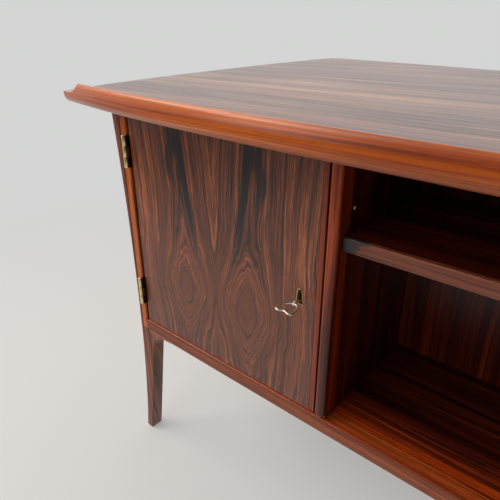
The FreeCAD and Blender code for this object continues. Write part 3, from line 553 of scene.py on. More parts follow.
shelfMark = {
    "colour": "#1c1f21", "run": (shelfLow.x / mm, shelfLow.x / mm + 50.0, 0.62, -0.45), "depth": 0.9,
    "climb": (shelfLow.z / mm, shelfHigh.z / mm, -0.3, 0.12), "fray": (0.09, 0.3, 0.42),
    "edge": (0.46, 0.6),
}
# painted light and shade: an axis, where that is full, where it ends, and the gain in each colour
lipLow, lipHigh = [corner.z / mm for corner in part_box("desktop_visitor_lip")]
# painted light on the lip: more orange at the crest, darker at its foot, and darker over the right part where less
# light falls
lipPaintedLight = [("Z", lipHigh, lipHigh - 14.0, (1.05, 1.0, 0.6)),
             ("Z", lipLow, lipLow + 20.0, (0.85, 0.86, 1.1)),
             ("X", -335.0, -480.0, (0.74, 0.66, 0.6))]
nosingLow, nosingHigh = [corner.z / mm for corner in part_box("divider_nosings")]
# painted light on the nosings: much paler and more orange at the top, fading out a third of the way down
nosingPaintedLight = ("Z", nosingHigh, nosingLow * 0.7 + nosingHigh * 0.3, (4.4, 3.2, 0.9))
backFront, backRear = [corner.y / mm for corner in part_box("bookcase_back")]
# painted light: the kneehole sides of the back and dividers are paler than their bookcase sides, which keep the
# darkened case tones
kneeholePaintedLight = ("Y", backRear, backFront, (2.2, 2.3, 2.2))
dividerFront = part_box("left_divider")[0].y / mm
# painted light: the dividers are paler near their front edge, where light reaches into the bookcase
dividerPaintedLight = ("Y", dividerFront, dividerFront + 60.0, (2.4, 2.2, 1.5))
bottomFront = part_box("bookcase_bottom")[0].y / mm
# painted light: a pool of light along the front of the bookcase bottom, fading out within about 100 mm
bottomPaintedLight = [("Y", bottomFront, bottomFront + 48.0, (5.0, 5.6, 2.4)),
                ("Y", bottomFront, bottomFront + 95.0, (2.0, 1.7, 1.4))]
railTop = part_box("visitor_rail")[1].z / mm
# painted highlight: the rail's top 3 mm paler and more orange, where light catches its top edge
railPaintedLight = ("Z", railTop, railTop - 3.0, (1.5, 1.05, 0.55))
finishes = {
    # the top: faded brown with broad soft bands, and its darker end strips
    "top": oiledWood("rosewoodTopVeneer", "XYZ", tones["top"], "#2b1d18", bandWidth=44.0, lineWidth=3.0,
                     inkDepth=0.4, fineShare=0.52, cloud=(330.0, 0.22),
                     waves=[(30.0, 160.0, 0.1), (4.0, 26.0, 0.1)]),
    "topEnd": oiledWood("rosewoodTopEndStrip", "YXZ", tones["top"], "#2b1d18", lineWidth=2.4),
    # solid edges: close straight grain, with painted light that makes the lip and nosings orange where light falls
    # on them
    "lip": oiledWood("rosewoodLip", "XZY", tones["lip"], "#4a1a08", gloss=0.38, rough=0.28, inkDepth=0.3,
                     bandWidth=4.5, lineWidth=1.4, inkWidth=1.8, depthShare=0.08, poreDepth=0.22, drift=0.006,
                     waves=edgeWaves, bleach=lipPaintedLight),
    "shelfEdge": oiledWood("rosewoodShelfLipping", "XZY", tones["shelf"], "#3a1a12", bandWidth=7.0,
                           lineWidth=1.6, inkWidth=2.0, inkDepth=0.45, waves=edgeWaves, mark=shelfMark),
    "edgeZ": oiledWood("rosewoodEdgeUpright", "ZXY", tones["upright"], "#2e1009", bandWidth=8.0,
                       lineWidth=1.8, waves=edgeWaves, gloss=0.35, bleach=[nosingPaintedLight]),
    # painted light: the gable lippings take the lip's paler tones instead of the upright edges' tones, as they
    # face the light
    "gableEdge": oiledWood("rosewoodGableLipping", "ZXY", tones["lip"], "#4a1a08", inkDepth=0.3,
                           bandWidth=8.0, lineWidth=1.8, waves=edgeWaves),
    "closingEdge": oiledWood("rosewoodDoorLipping", "ZXY", tones["closing"], "#2e1009", inkDepth=0.3,
                             bandWidth=8.0, lineWidth=1.8, waves=edgeWaves),
    # book-matched door veneer, glossier than the rest
    "door": oiledWood("rosewoodDoorVeneer", "ZXY", tones["door"], "#1a0f0c", at=(0.36, 0.44, 0.53, 0.62),
                      figure=doorFigure, lineWidth=1.5, lineDetail=1.0, drift=0.016, inkWidth=1.9,
                      inkDepth=0.65, gloss=0.65, bandWidth=5.0,
                      waves=[(13.0, 50.0, 0.4), (6.5, 15.0, 0.4), (2.4, 6.0, 0.3)]),
    # case veneers: deep red-brown, darkened inside as painted shade, with painted light on the sides and edges
    # that light reaches
    "back": oiledWood("rosewoodBackVeneer", "ZXY", tones["case"], "#120605", bleach=[kneeholePaintedLight]),
    "divider": oiledWood("rosewoodDividerVeneer", "ZYX", tones["case"], "#120605",
                         bleach=[kneeholePaintedLight, dividerPaintedLight]),
    "gable": oiledWood("rosewoodGableVeneer", "ZYX", tones["gable"], "#17100f", inkWidth=3.0, inkDepth=0.5,
                       gloss=0.2, rough=0.42, waves=[(20.0, 90.0, 0.2), (3.0, 18.0, 0.2)]),
    "level": oiledWood("rosewoodShelfVeneer", "XYZ", tones["case"], "#120605"),
    "bottom": oiledWood("rosewoodBottomVeneer", "XYZ", tones["bottom"], "#100402", bandWidth=9.0,
                        lineWidth=2.0, inkWidth=2.6, inkDepth=0.7, bleach=bottomPaintedLight),
    "front": oiledWood("rosewoodDrawerVeneer", "XZY", tones["front"], "#17100f", inkWidth=3.0, inkDepth=0.5,
                       waves=[(26.0, 90.0, 0.2), (3.0, 18.0, 0.2)]),
    # solid grips, legs and rails: plain quiet grain
    "pull": oiledWood("rosewoodPull", "XZY", tones["rail"], "#2c140d", inkDepth=0.4, bandWidth=7.0,
                      lineWidth=1.6, waves=edgeWaves),
    "leg": oiledWood("rosewoodLeg", "ZXY", tones["leg"], "#2c1711", inkDepth=0.4, bandWidth=9.0,
                     lineWidth=2.2, gloss=0.3),
    "rail": oiledWood("rosewoodRail", "XZY", tones["rail"], "#2c140d", inkDepth=0.5, bandWidth=9.0,
                      lineWidth=2.2, depthShare=0.9, waves=edgeWaves, gloss=0.3, bleach=[railPaintedLight]),
    # pale dry woods out of sight
    "drawer": oiledWood("oakDrawerBoard", "YZX", tones["oak"], "#7d5c3b", at=(0.3, 0.7), inkDepth=0.3,
                        rough=0.55),
    "peg": oiledWood("maplePeg", "XYZ", tones["maple"], "#b08c66", at=(0.3, 0.7), inkDepth=0.2, rough=0.5),
    # bright handled brass, brass gone brown in its recess and darkened further as painted shade, and greyish
    # nickel plate
    "brass": wipedMetal("agedBrass", "#f2d9a2", 0.30, 0.25),
    "patinaAndShade": wipedMetal("darkenedBrass", "#4a3a22", 0.42, 0.6),
    "steel": wipedMetal("nickelledSteel", "#e4e0d8", 0.26, 0.15),
}
print("finishes", len(finishes))


# Edge strips of the top, swept along the plan by geometry nodes

plan = {
    "midHalf": 456.0, "midSag": 8.0, "tipInset": 98.0, "tipSetback": 60.0, "shoulderInset": 53.0,
    "shoulderSetback": 222.0, "widestFromRear": 76.0, "cornerRadius": 30.0, "wingAngle": 16.7,
    "bowHalf": 406.0, "thickness": 22.0, "stripWidth": 12.0, "stripRound": 6.0, "seamReach": 40.0,
}
lip = {
    "band": 38.0, "height": 14.0, "crestInset": 6.0, "crestRound": 5.0, "coveWidth": 13.0,
    "coveSag": 3.2, "bevelInset": 34.0, "noseRadius": 20.0, "undercut": 7.5, "noseTop": 4.0,
    "turnUnder": 2.8, "faceLean": 10.0, "faceHandle": 8.4, "crestHandles": (3.0, 2.4),
    "backHandle": (-0.6, 2.2), "inside": 0.2, "endFlat": 22.0, "endRound": 1.8, "endReach": 90.0,
    "runoutLength": 32.0, "runoutStep": 1.1,
}
halfWide, halfDeep = cadBox[1].x / mm, cadBox[1].y / mm
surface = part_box("desktop_panel")[1].z / mm
edgeMarks = {"fromStart": "FLOAT", "toEnd": "FLOAT", "heading": "FLOAT_VECTOR", "inset": "FLOAT"}
plainEdge = {  # a strip with nearly square ends and nothing raised
    "Lean Reach": 60.0, "Round": 0.3, "Section Middle": plan["stripWidth"] / 2, "Surface": surface,
    "Half Thick": plan["thickness"] / 2, "Rise": 1.0, "Runout Start": 0.0, "Runout Length": 1.0,
    "Half Span": 10000.0,
}


def planPoints():  # left half of the top's outline, points and arc centres
    apex = Vector((0, -halfDeep))
    joint = Vector((-plan["midHalf"], plan["midSag"] - halfDeep))
    tip = Vector((plan["tipInset"] - halfWide, plan["tipSetback"] - halfDeep))
    shoulder = Vector((plan["shoulderInset"] - halfWide, plan["shoulderSetback"] - halfDeep))
    widest = Vector((-halfWide, halfDeep - plan["widestFromRear"]))
    midCentre = tangentCentre(apex, Vector((0, 1)), joint)
    wingCentre = tangentCentre(joint, (midCentre - joint).normalized(), tip)
    endCentre = tangentCentre(widest, Vector((1, 0)), shoulder)
    noseCentre = tangentCentre(shoulder, (endCentre - shoulder).normalized(), tip)
    radius = plan["cornerRadius"]
    cornerCentre = Vector((radius - halfWide, halfDeep - radius))
    slope = math.radians(plan["wingAngle"])
    outward = Vector((math.sin(slope), math.cos(slope)))
    cornerEnd = cornerCentre + outward * radius
    run = (-plan["bowHalf"] - cornerEnd.x) / math.cos(slope)
    bowStart = cornerEnd + Vector((math.cos(slope), -math.sin(slope))) * run
    bowCentre = bowStart + outward * (plan["bowHalf"] / math.sin(slope))
    mitre = cornerCentre + (Vector((-1, 0)) + outward).normalized() * radius
    return {"joint": joint, "tip": tip, "shoulder": shoulder, "widest": widest, "midCentre": midCentre,
            "wingCentre": wingCentre, "endCentre": endCentre, "noseCentre": noseCentre,
            "cornerCentre": cornerCentre, "cornerStart": Vector((-halfWide, cornerCentre.y)),
            "cornerEnd": cornerEnd, "bowStart": bowStart, "bowCentre": bowCentre, "mitre": mitre}


def flipped(points):
    return [Vector((-point.x, point.y)) for point in reversed(points)]


def endSteps(length, fine, reach, coarse=12):  # shares of a run, close together near its start
    spots = [0, 0.12, 0.4, 0.8, 1.4, 2.2, 3.0]
    while spots[-1] < reach:
        spots.append(spots[-1] + fine)
    rest = length - spots[-1]
    count = max(4, round(rest / coarse))
    spots += [spots[-1] + rest * step / count for step in range(1, count + 1)]
    return [spot / length for spot in spots]


def sweptEdgeTree():
    sizes = dict.fromkeys(["Start Lean", "End Lean", *plainEdge], "Float")
    tree, given = newTree("sweptEdge", {"Path": "Object", "Profile": "Object", **sizes, "Finish": "Material"})
    path = addNode(tree, "GeometryNodeObjectInfo", [given["Path"]]).outputs["Geometry"]
    section = addNode(tree, "GeometryNodeObjectInfo", [given["Profile"]]).outputs["Geometry"]
    run = addNode(tree, "GeometryNodeSplineParameter").outputs["Length"]
    total = addNode(tree, "GeometryNodeSplineLength")
    rest = addNode(tree, "Math", [total, run], operation="SUBTRACT")
    heading = addNode(tree, "GeometryNodeInputTangent")
    here = addNode(tree, "GeometryNodeInputPosition")
    for name, value in (("fromStart", run), ("toEnd", rest), ("heading", heading)):
        path = addNode(tree, "GeometryNodeStoreNamedAttribute",
                       {"Geometry": path, "Name": name, "Value": value},
                       data_type=edgeMarks[name], domain="POINT")
    flat = addNode(tree, "SeparateXYZ", [here]).outputs["X"]
    section = addNode(tree, "GeometryNodeStoreNamedAttribute",
                      {"Geometry": section, "Name": "inset", "Value": flat},
                      data_type=edgeMarks["inset"], domain="POINT")
    swept = addNode(tree, "GeometryNodeCurveToMesh",
                    {"Curve": path, "Profile Curve": section, "Fill Caps": True})
    read = {}
    for name, kind in edgeMarks.items():
        read[name] = addNode(tree, "GeometryNodeInputNamedAttribute", {"Name": name}, data_type=kind)
    leans = []  # the ends are cut slanting, further along the path the deeper the point lies
    for away, lean in (("fromStart", "Start Lean"), ("toEnd", "End Lean")):
        near = addNode(tree, "MapRange", [read[away], 0.0, given["Lean Reach"], 1.0, 0.0])
        amount = addNode(tree, "Math", [near, given[lean]], operation="MULTIPLY")
        leans.append(addNode(tree, "Math", [amount, read["inset"]], operation="MULTIPLY"))
    lean = addNode(tree, "Math", leans, operation="ADD")
    slide = addNode(tree, "VectorMath", {0: read["heading"], "Scale": lean}, operation="SCALE")
    swept = addNode(tree, "GeometryNodeSetPosition", {"Geometry": swept, "Offset": slide})
    # rounds the ends: each section shrinks towards its middle over the last few millimetres
    nearest = addNode(tree, "Math", [read["fromStart"], read["toEnd"]], operation="MINIMUM")
    share = addNode(tree, "MapRange", [nearest, 0.0, given["Round"], 1.0, 0.0])
    bow = addNode(tree, "Math", [share, share], operation="MULTIPLY")
    bow = addNode(tree, "Math", [1.0, bow], operation="SUBTRACT")
    bow = addNode(tree, "Math", [bow], operation="SQRT")
    bow = addNode(tree, "Math", [1.0, bow], operation="SUBTRACT")
    pinch = addNode(tree, "Math", [bow, given["Round"]], operation="MULTIPLY")
    spot = addNode(tree, "SeparateXYZ", [here]).outputs
    # the raised lip runs out in a hollow ogee before the tips
    fromMiddle = addNode(tree, "Math", [spot["X"]], operation="ABSOLUTE")
    fromTip = addNode(tree, "Math", [given["Half Span"], fromMiddle], operation="SUBTRACT")
    past = addNode(tree, "Math", [fromTip, given["Runout Start"]], operation="SUBTRACT")
    past = addNode(tree, "Math", [past, 0.0], operation="MAXIMUM")
    past = addNode(tree, "Math", [past, given["Runout Length"]], operation="MINIMUM")
    longSquare = addNode(tree, "Math", [given["Runout Length"], 2.0], operation="POWER")
    riseSquare = addNode(tree, "Math", [given["Rise"], 2.0], operation="POWER")
    double = addNode(tree, "Math", [given["Rise"], 2.0], operation="MULTIPLY")
    radius = addNode(tree, "Math", [longSquare, riseSquare], operation="ADD")
    radius = addNode(tree, "Math", [radius, double], operation="DIVIDE")
    radiusSquare = addNode(tree, "Math", [radius, 2.0], operation="POWER")
    pastSquare = addNode(tree, "Math", [past, 2.0], operation="POWER")
    drop = addNode(tree, "Math", [radiusSquare, pastSquare], operation="SUBTRACT")
    drop = addNode(tree, "Math", [drop], operation="SQRT")
    climb = addNode(tree, "Math", [radius, drop], operation="SUBTRACT")
    limit = addNode(tree, "Math", [given["Surface"], climb], operation="ADD")
    height = addNode(tree, "Math", [spot["Z"], limit], operation="MINIMUM")
    middleZ = addNode(tree, "Math", [given["Surface"], given["Half Thick"]], operation="SUBTRACT")
    toMiddle = addNode(tree, "Math", [middleZ, height], operation="SUBTRACT")
    zShare = addNode(tree, "Math", [pinch, given["Half Thick"]], operation="DIVIDE")
    height = addNode(tree, "Math", [toMiddle, zShare, height], operation="MULTIPLY_ADD")
    placed = addNode(tree, "CombineXYZ", [spot["X"], spot["Y"], height])
    inward = addNode(tree, "VectorMath", [read["heading"], upward], operation="CROSS_PRODUCT")
    deeper = addNode(tree, "Math", [given["Section Middle"], read["inset"]], operation="SUBTRACT")
    nShare = addNode(tree, "Math", [pinch, given["Section Middle"]], operation="DIVIDE")
    deeper = addNode(tree, "Math", [deeper, nShare], operation="MULTIPLY")
    drawn = addNode(tree, "VectorMath", {0: inward, "Scale": deeper}, operation="SCALE")
    swept = addNode(tree, "GeometryNodeSetPosition", {"Geometry": swept, "Position": placed, "Offset": drawn})
    closeTree(tree, swept, given["Finish"])
    return tree


edgeTree = sweptEdgeTree()


def sweptEdge(name, node, finish, path, profile, leans=(0.0, 0.0), sizes=None):  # profile of (inset, height)
    route = polyline(name + "Path", [(point.x, point.y, surface) for point in path])
    route.data.twist_mode = "Z_UP"
    section = polyline(name + "Profile", [(inset, -height, 0) for inset, height in profile], closed=True)
    values = {label: size * mm for label, size in {**plainEdge, **(sizes or {})}.items()}
    values.update({"Path": route, "Profile": section, "Start Lean": leans[0], "End Lean": leans[1],
                   "Finish": finishes[finish]})
    piece = runTree(meshPiece(name), edgeTree, values, 40)
    bpy.data.objects.remove(route)
    bpy.data.objects.remove(section)
    for mark in edgeMarks:
        if mark in piece.data.attributes:
            piece.data.attributes.remove(piece.data.attributes[mark])
    dress(piece, node, finish)


def lipSection():  # inset from the outline and height over the work surface
    nose, under, thick = lip["noseRadius"], lip["undercut"] - plan["thickness"], plan["thickness"]
    tuck = nose - math.sqrt(nose ** 2 - under ** 2)
    points = [Vector((lip["band"], -thick)), Vector((lip["bevelInset"], -thick))]
    heights = [under * (1 - step / 18) for step in range(19)]
    points += [Vector((tuck * (height / under) ** lip["turnUnder"], height)) for height in heights]
    slope = math.radians(lip["faceLean"])
    lean = lip["noseTop"] * math.tan(slope) / 2
    points += [Vector((lean * (step / 4) ** 2, lip["noseTop"] * step / 4)) for step in range(1, 5)]
    way = Vector((math.sin(slope), math.cos(slope)))
    shoulder, crestIn = lip["height"] - lip["crestRound"], lip["crestInset"] + lip["crestRound"]
    crest, back = Vector((lip["crestInset"], lip["height"])), Vector((crestIn, shoulder))
    before, after = [Vector((reach, 0)) for reach in lip["crestHandles"]]
    climb = points[-1] + way * lip["faceHandle"]
    points += interpolate_bezier(points[-1], climb, crest - before, crest, 16)[1:]
    points += interpolate_bezier(crest, crest + after, back + Vector(lip["backHandle"]), back, 9)[1:]
    hollow, foot = (crestIn + lip["coveSag"], shoulder / 3), (crestIn + lip["coveWidth"], 0)
    points += arcPoints(back, hollow, foot, 14)[1:]
    points.append(Vector((lip["band"], 0)))
    share = 1 - lip["inside"] / lip["band"]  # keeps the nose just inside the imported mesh
    return [(lip["inside"] + point.x * share, point.y) for point in points]


def stripSection():
    width, turn, thick = plan["stripWidth"], plan["stripRound"], plan["thickness"]
    low = aboutCentre(Vector((turn, turn - thick)), Vector((turn, -thick)), Vector((0, turn - thick)), 10)
    top = aboutCentre(Vector((turn, -turn)), Vector((0, -turn)), Vector((turn, 0)), 10)
    return [(width, -thick)] + [tuple(spot) for spot in low + top] + [(width, 0)]


def dressLip(spots):
    tip, joint, centre = spots["tip"], spots["joint"], spots["wingCentre"]
    runout = lip["endFlat"] + lip["runoutLength"] + 10.0
    leftWing = arcByShares(centre, tip, joint, endSteps((joint - tip).length, lip["runoutStep"], runout))
    middle = aboutCentre(spots["midCentre"], joint, Vector((-joint.x, joint.y)), 90)
    outline = leftWing + middle[1:-1] + flipped(leftWing)
    inward = (centre - tip).normalized()
    heading = Vector((inward.y, -inward.x))  # from the left tip to the middle
    toShoulder = spots["noseCentre"] - tip
    endLine = Vector((-toShoulder.y, toShoulder.x))  # runs back along the end edge at the tip
    lean = endLine.dot(heading) / endLine.dot(inward)
    sizes = {"Lean Reach": lip["endReach"], "Round": lip["endRound"], "Section Middle": lip["band"] / 2,
             "Rise": lip["height"], "Runout Start": lip["endFlat"], "Runout Length": lip["runoutLength"],
             "Half Span": -tip.x}
    sweptEdge("visitorLip", "desktop_visitor_lip", "lip", outline[::-1], lipSection(), (lean, -lean), sizes)


def dressStrips(spots):  # end strips butt against the lip and meet the user strip in mitres
    wing, nose, tip, shoulder = [spots[name] for name in ("wingCentre", "noseCentre", "tip", "shoulder")]
    innerRadius = (tip - wing).length - lip["band"]
    low, high = 0.0, 1.0
    for _ in range(40):  # where the end edge crosses the lip's inner line
        share = (low + high) / 2
        spot = arcByShares(nose, tip, shoulder, [share])[0]
        low, high = (share, high) if (spot - wing).length > innerRadius else (low, share)
    path = arcByShares(nose, tip, shoulder, [share + (1 - share) * step for step in endSteps(130, 6, 12)])
    inward = (nose - path[0]).normalized()
    heading = Vector((-inward.y, inward.x))
    toWing = (wing - path[0]).normalized()
    seam = Vector((toWing.y, -toWing.x))
    lean = seam.dot(heading) / seam.dot(inward)
    path += aboutCentre(spots["endCentre"], shoulder, spots["widest"], 60)[1:]
    path += aboutCentre(spots["cornerCentre"], spots["cornerStart"], spots["mitre"], 8)
    section, sizes = stripSection(), {"Lean Reach": plan["seamReach"]}
    sweptEdge("leftEndStrip", "desktop_left_edge", "topEnd", path, section, (lean, 0.0), sizes)
    sweptEdge("rightEndStrip", "desktop_right_edge", "topEnd", flipped(path), section, (0.0, -lean), sizes)
    start = spots["bowStart"]
    path = aboutCentre(spots["cornerCentre"], spots["mitre"], spots["cornerEnd"], 8)
    path += [spots["cornerEnd"].lerp(start, step / 40) for step in range(1, 40)]
    bow = aboutCentre(spots["bowCentre"], start, Vector((-start.x, start.y)), 72)
    sweptEdge("userStrip", "desktop_user_edge", "lip", path + bow + flipped(path), section)


topSpots = planPoints()
dressLip(topSpots)
dressStrips(topSpots)
coat(cadNodes["desktop_panel"], "top")
print("top dressed")


# Case: boards keep their solids, and what has soft edges is made again

boards = {
    "gable": ["left_gable", "right_gable"],
    "divider": ["left_divider", "right_divider"],
    "back": ["bookcase_back", "left_cabinet_back", "right_cabinet_back"],
    "bottom": ["bookcase_bottom"],
    "level": ["left_pedestal_bottom", "right_pedestal_bottom", "bookcase_shelf"],
}
lippings = {  # node, rounding of its edges and finish
    "gableLippings": ("gable_lippings", 2.5, "gableEdge"),
    "shelfLipping": ("bookcase_shelf_lipping", 1.4, "shelfEdge"),
}
rail = {
    "soft": 3.5, "flush": 0.3, "blend": 26.0, "steps": 5, "leastTurn": 0.2, "toGable": 0.5,
    "nearGable": 10.0, "blendAt": (0.0, 0.15, 0.35, 0.5, 0.65, 0.85, 1.0),
}
leg = {
    "topWidth": 22.0, "waistWidth": 5.0, "waistHeight": 345.0, "footReach": 27.0, "footWidth": 19.0,
    "footRound": 6.0, "footBend": 0.42, "footBulge": 0.12, "soleBulge": 0.10, "kneeRadius": 37.0,
    "kneeReach": 66.0, "kneeToe": 1.0, "toeShare": 0.8, "seat": 19.0, "soft": 3.0, "seamSoft": 1.0,
    "soleSoft": 1.8, "softShare": 0.4, "softSteps": 6, "widening": 0.08,
}


def railRing(low, high, x, lower, inset):  # rounded section at x, with its own rounding along the lower edges
    ring = []
    corners = [(low.y, low.z, 1, 1, lower, 180), (high.y, low.z, -1, 1, lower, 270),
               (high.y, high.z, -1, -1, rail["soft"], 0), (low.y, high.z, 1, -1, rail["soft"], 90)]
    for y, z, inY, inZ, radius, start in corners:
        size = max(radius - inset, rail["leastTurn"]) * mm
        back = inset * mm + size
        for step in range(rail["steps"] + 1):
            turn = math.radians(start + 90 * step / rail["steps"])
            ring.append((x, y + inY * back + size * math.cos(turn), z + inZ * back + size * math.sin(turn)))
    return ring


def softRails(name, node):  # flush with the legs at their knees, rounded between, running on to the gable
    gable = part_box("left_gable")
    gableInner = -gable[1].x - rail["toGable"] * mm
    toe = -gable[0].x - leg["kneeReach"] * mm
    bars = []
    for low, high in solidBoxes(node):
        stations = []
        for end, way in ((low.x, 1), (high.x, -1)):
            if abs(end) > gableInner - rail["nearGable"] * mm:
                near = [(-way * gableInner, rail["flush"], 0.0)]
                for share in rail["blendAt"]:
                    size = rail["flush"] + (rail["soft"] - rail["flush"]) * share ** 2 * (3 - 2 * share)
                    near.append((-way * (toe - share * rail["blend"] * mm), size, 0.0))
            else:
                near = []
                for turn in range(0, 91, 18):  # a free end is rounded too
                    depth, inset = 1 - math.cos(math.radians(turn)), 1 - math.sin(math.radians(turn))
                    near.append((end + way * depth * rail["soft"] * mm, rail["soft"], inset * rail["soft"]))
            stations += near if way > 0 else near[::-1]
        bars.append(lofted(name, [railRing(low, high, *station) for station in stations]))
    return joined(name, bars)


def dressBoards():
    for finish, nodes in boards.items():
        for node in nodes:
            coat(cadNodes[node], finish)
    dress(softRails("visitorRail", "visitor_rail"), "visitor_rail", "rail")
    dress(softRails("userRails", "user_rails"), "user_rails", "rail")
    for name, (node, width, finish) in lippings.items():
        dress(softBoxes(name, node, width), node, finish)


def dressNosings(steps=20):  # half-round bars with a rounded foot, one at each end of both dividers
    bars = []
    for low, high in solidBoxes("divider_nosings"):
        radius = high.y - low.y
        outward = -1 if low.y < 0 else 1
        centre = Vector(((low.x + high.x) / 2, high.y if outward < 0 else low.y, low.z + radius))
        foot = [math.radians(turn) for turn in range(82, 0, -8)]
        rows = [(0.0, -radius)] + [(math.cos(turn) * radius, -math.sin(turn) * radius) for turn in foot]
        rows += [(radius, 0.0), (radius, high.z - centre.z)]
        turns = [math.pi * step / steps for step in range(steps + 1)]
        ways = [(math.cos(turn), outward * math.sin(turn)) for turn in turns]
        bars.append(lofted("nosing", [[centre + Vector((x * size, y * size, height)) for x, y in ways]
                                      for size, height in rows]))
    dress(joined("dividerNosings", bars), "divider_nosings", "edgeZ")


def legOutline(gableOuter, railUnder, gableBottom, under):  # in front view, left leg, points of (X, Z)
    at = lambda outward, height: Vector((gableOuter - outward, height))
    top, waist = at(leg["topWidth"], under), at(leg["waistWidth"], leg["waistHeight"])
    foot, innerFoot = at(leg["footReach"], 0), at(leg["footReach"] - leg["footWidth"], 0)
    upper, lower = [tangentCentre(waist, Vector((-1, 0)), end) for end in (top, foot)]
    radius = leg["kneeRadius"]
    knee = at(-leg["kneeReach"], railUnder - radius)
    toeBack = math.sqrt(radius ** 2 - (radius - leg["kneeToe"]) ** 2)
    toe = at(toeBack - leg["kneeReach"], railUnder - leg["kneeToe"])
    reach = knee - innerFoot
    lean = math.asin(radius / reach.length)
    slope = (Matrix.Rotation(lean, 2) @ reach).normalized()
    kneeStart = innerFoot + slope * math.sqrt(reach.length ** 2 - radius ** 2)
    outer = (aboutCentre(lower, foot, waist, 28) + aboutCentre(upper, waist, top, 28)[1:])[2:]
    joints = [at(0, under), at(0, gableBottom), at(-leg["seat"], gableBottom), at(-leg["seat"], railUnder),
              at(toeBack - leg["kneeReach"], railUnder)]
    inner = aboutCentre(knee, toe, kneeStart, 24)
    # both corners of the sole are rounded
    turn, bend = leg["footRound"], leg["footRound"] * leg["footBend"]
    bulge, sole = Vector((turn * leg["footBulge"], 0)), turn * leg["soleBulge"]
    rise = (outer[0] - foot).normalized()
    inside = [innerFoot + slope * turn, innerFoot + slope * bend - bulge,
              innerFoot - Vector((bend, -sole)), innerFoot - Vector((turn, 0))]
    outside = [foot + Vector((turn, 0)), foot + Vector((bend, sole)),
               foot + rise * bend + bulge, foot + rise * turn]
    # rounding of each edge: less where the leg is slim beside the gable, and at the knee's thin toe
    width = [gableOuter - spot.x + max(0.0, gableBottom - spot.y) * leg["widening"] for spot in outer]
    soft = [min(leg["soft"], leg["softShare"] * size) for size in width[:-1]]
    soft += [0.0, leg["seamSoft"]] + [0.0] * 4
    soft += [min(leg["soft"], leg["toeShare"] * (railUnder - spot.y)) for spot in inner]
    spots = outer + joints + inner + inside + outside
    return spots, soft + [leg["soleSoft"]] * (len(spots) - len(soft))


def drawnIn(outline, soft, share):  # the outline, moved in by a share of each edge's rounding
    points = []
    for index, spot in enumerate(outline):
        before = (spot - outline[index - 1]).normalized()
        after = (outline[(index + 1) % len(outline)] - spot).normalized()
        sizes = [soft[index - 1] * share, soft[index] * share]
        normals = [Vector((way.y, -way.x)) for way in (before, after)]
        turn = normals[0].cross(normals[1])
        if abs(turn) < 0.15:  # nearly straight on
            points.append(spot + (normals[0] + normals[1]).normalized() * sum(sizes) / 2)
        else:
            x = (sizes[0] * normals[1].y - sizes[1] * normals[0].y) / turn
            y = (sizes[1] * normals[0].x - sizes[0] * normals[1].x) / turn
            points.append(spot + Vector((x, y)))
    return points


def roundedPlank(name, outline, soft, sign, front, rear):  # edges rounded towards both faces
    layers = []
    for step in range(leg["softSteps"] + 1):
        turn = math.pi / 2 * step / leg["softSteps"]
        layers.append((1 - math.sin(turn), (1 - math.cos(turn)) * leg["soft"] * mm))
    levels = [(share, front + depth) for share, depth in layers]
    levels += [(share, rear - depth) for share, depth in reversed(layers)]
    return lofted(name, [[(point.x * sign * mm, y, point.y * mm) for point in drawnIn(outline, soft, share)]
                         for share, y in levels])


def dressLegs():
    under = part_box("desktop_panel")[0].z / mm
    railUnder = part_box("visitor_rail")[0].z / mm
    for side, sign in sides.items():
        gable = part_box(side + "_gable")
        outer = abs(gable[0].x if sign > 0 else gable[1].x) / mm
        outline, soft = legOutline(-outer, railUnder, gable[0].z / mm, under)
        for place in ("visitor", "user"):
            node = place + "_" + side + "_leg"
            low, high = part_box(node)
            dress(roundedPlank(place + side + "legPlank", outline, soft, sign, low.y, high.y), node, "leg")


dressBoards()
dressNosings()
dressLegs()
print("case dressed")


# Doors with hinges, lock, key and escutcheon

hinge = {
    "leaf": 1.8, "barrel": 3.5, "ease": 0.35, "pin": 1.5, "bore": 1.75, "gap": 0.3, "edge": 0.2,
    "frameBase": 4.6, "frameTab": 0.6, "doorBase": 7.5, "doorTab": 1.2, "armStart": 2.4, "armLap": 0.4,
    "screw": 2.3, "screwDome": 0.35, "screwSlot": 0.5, "screwInset": 6.0,
    "screwSpots": (0.16, 0.5, 0.84),
}


def knuckle(base, length):
    inner, outer, ease = hinge["bore"], hinge["barrel"], hinge["ease"]
    foot = [(inner, 0), (outer - ease, 0), (outer - ease * 0.3, ease * 0.3), (outer, ease)]
    return turned("knuckle", base, bothEnds(foot, length) + foot[:1], 40)


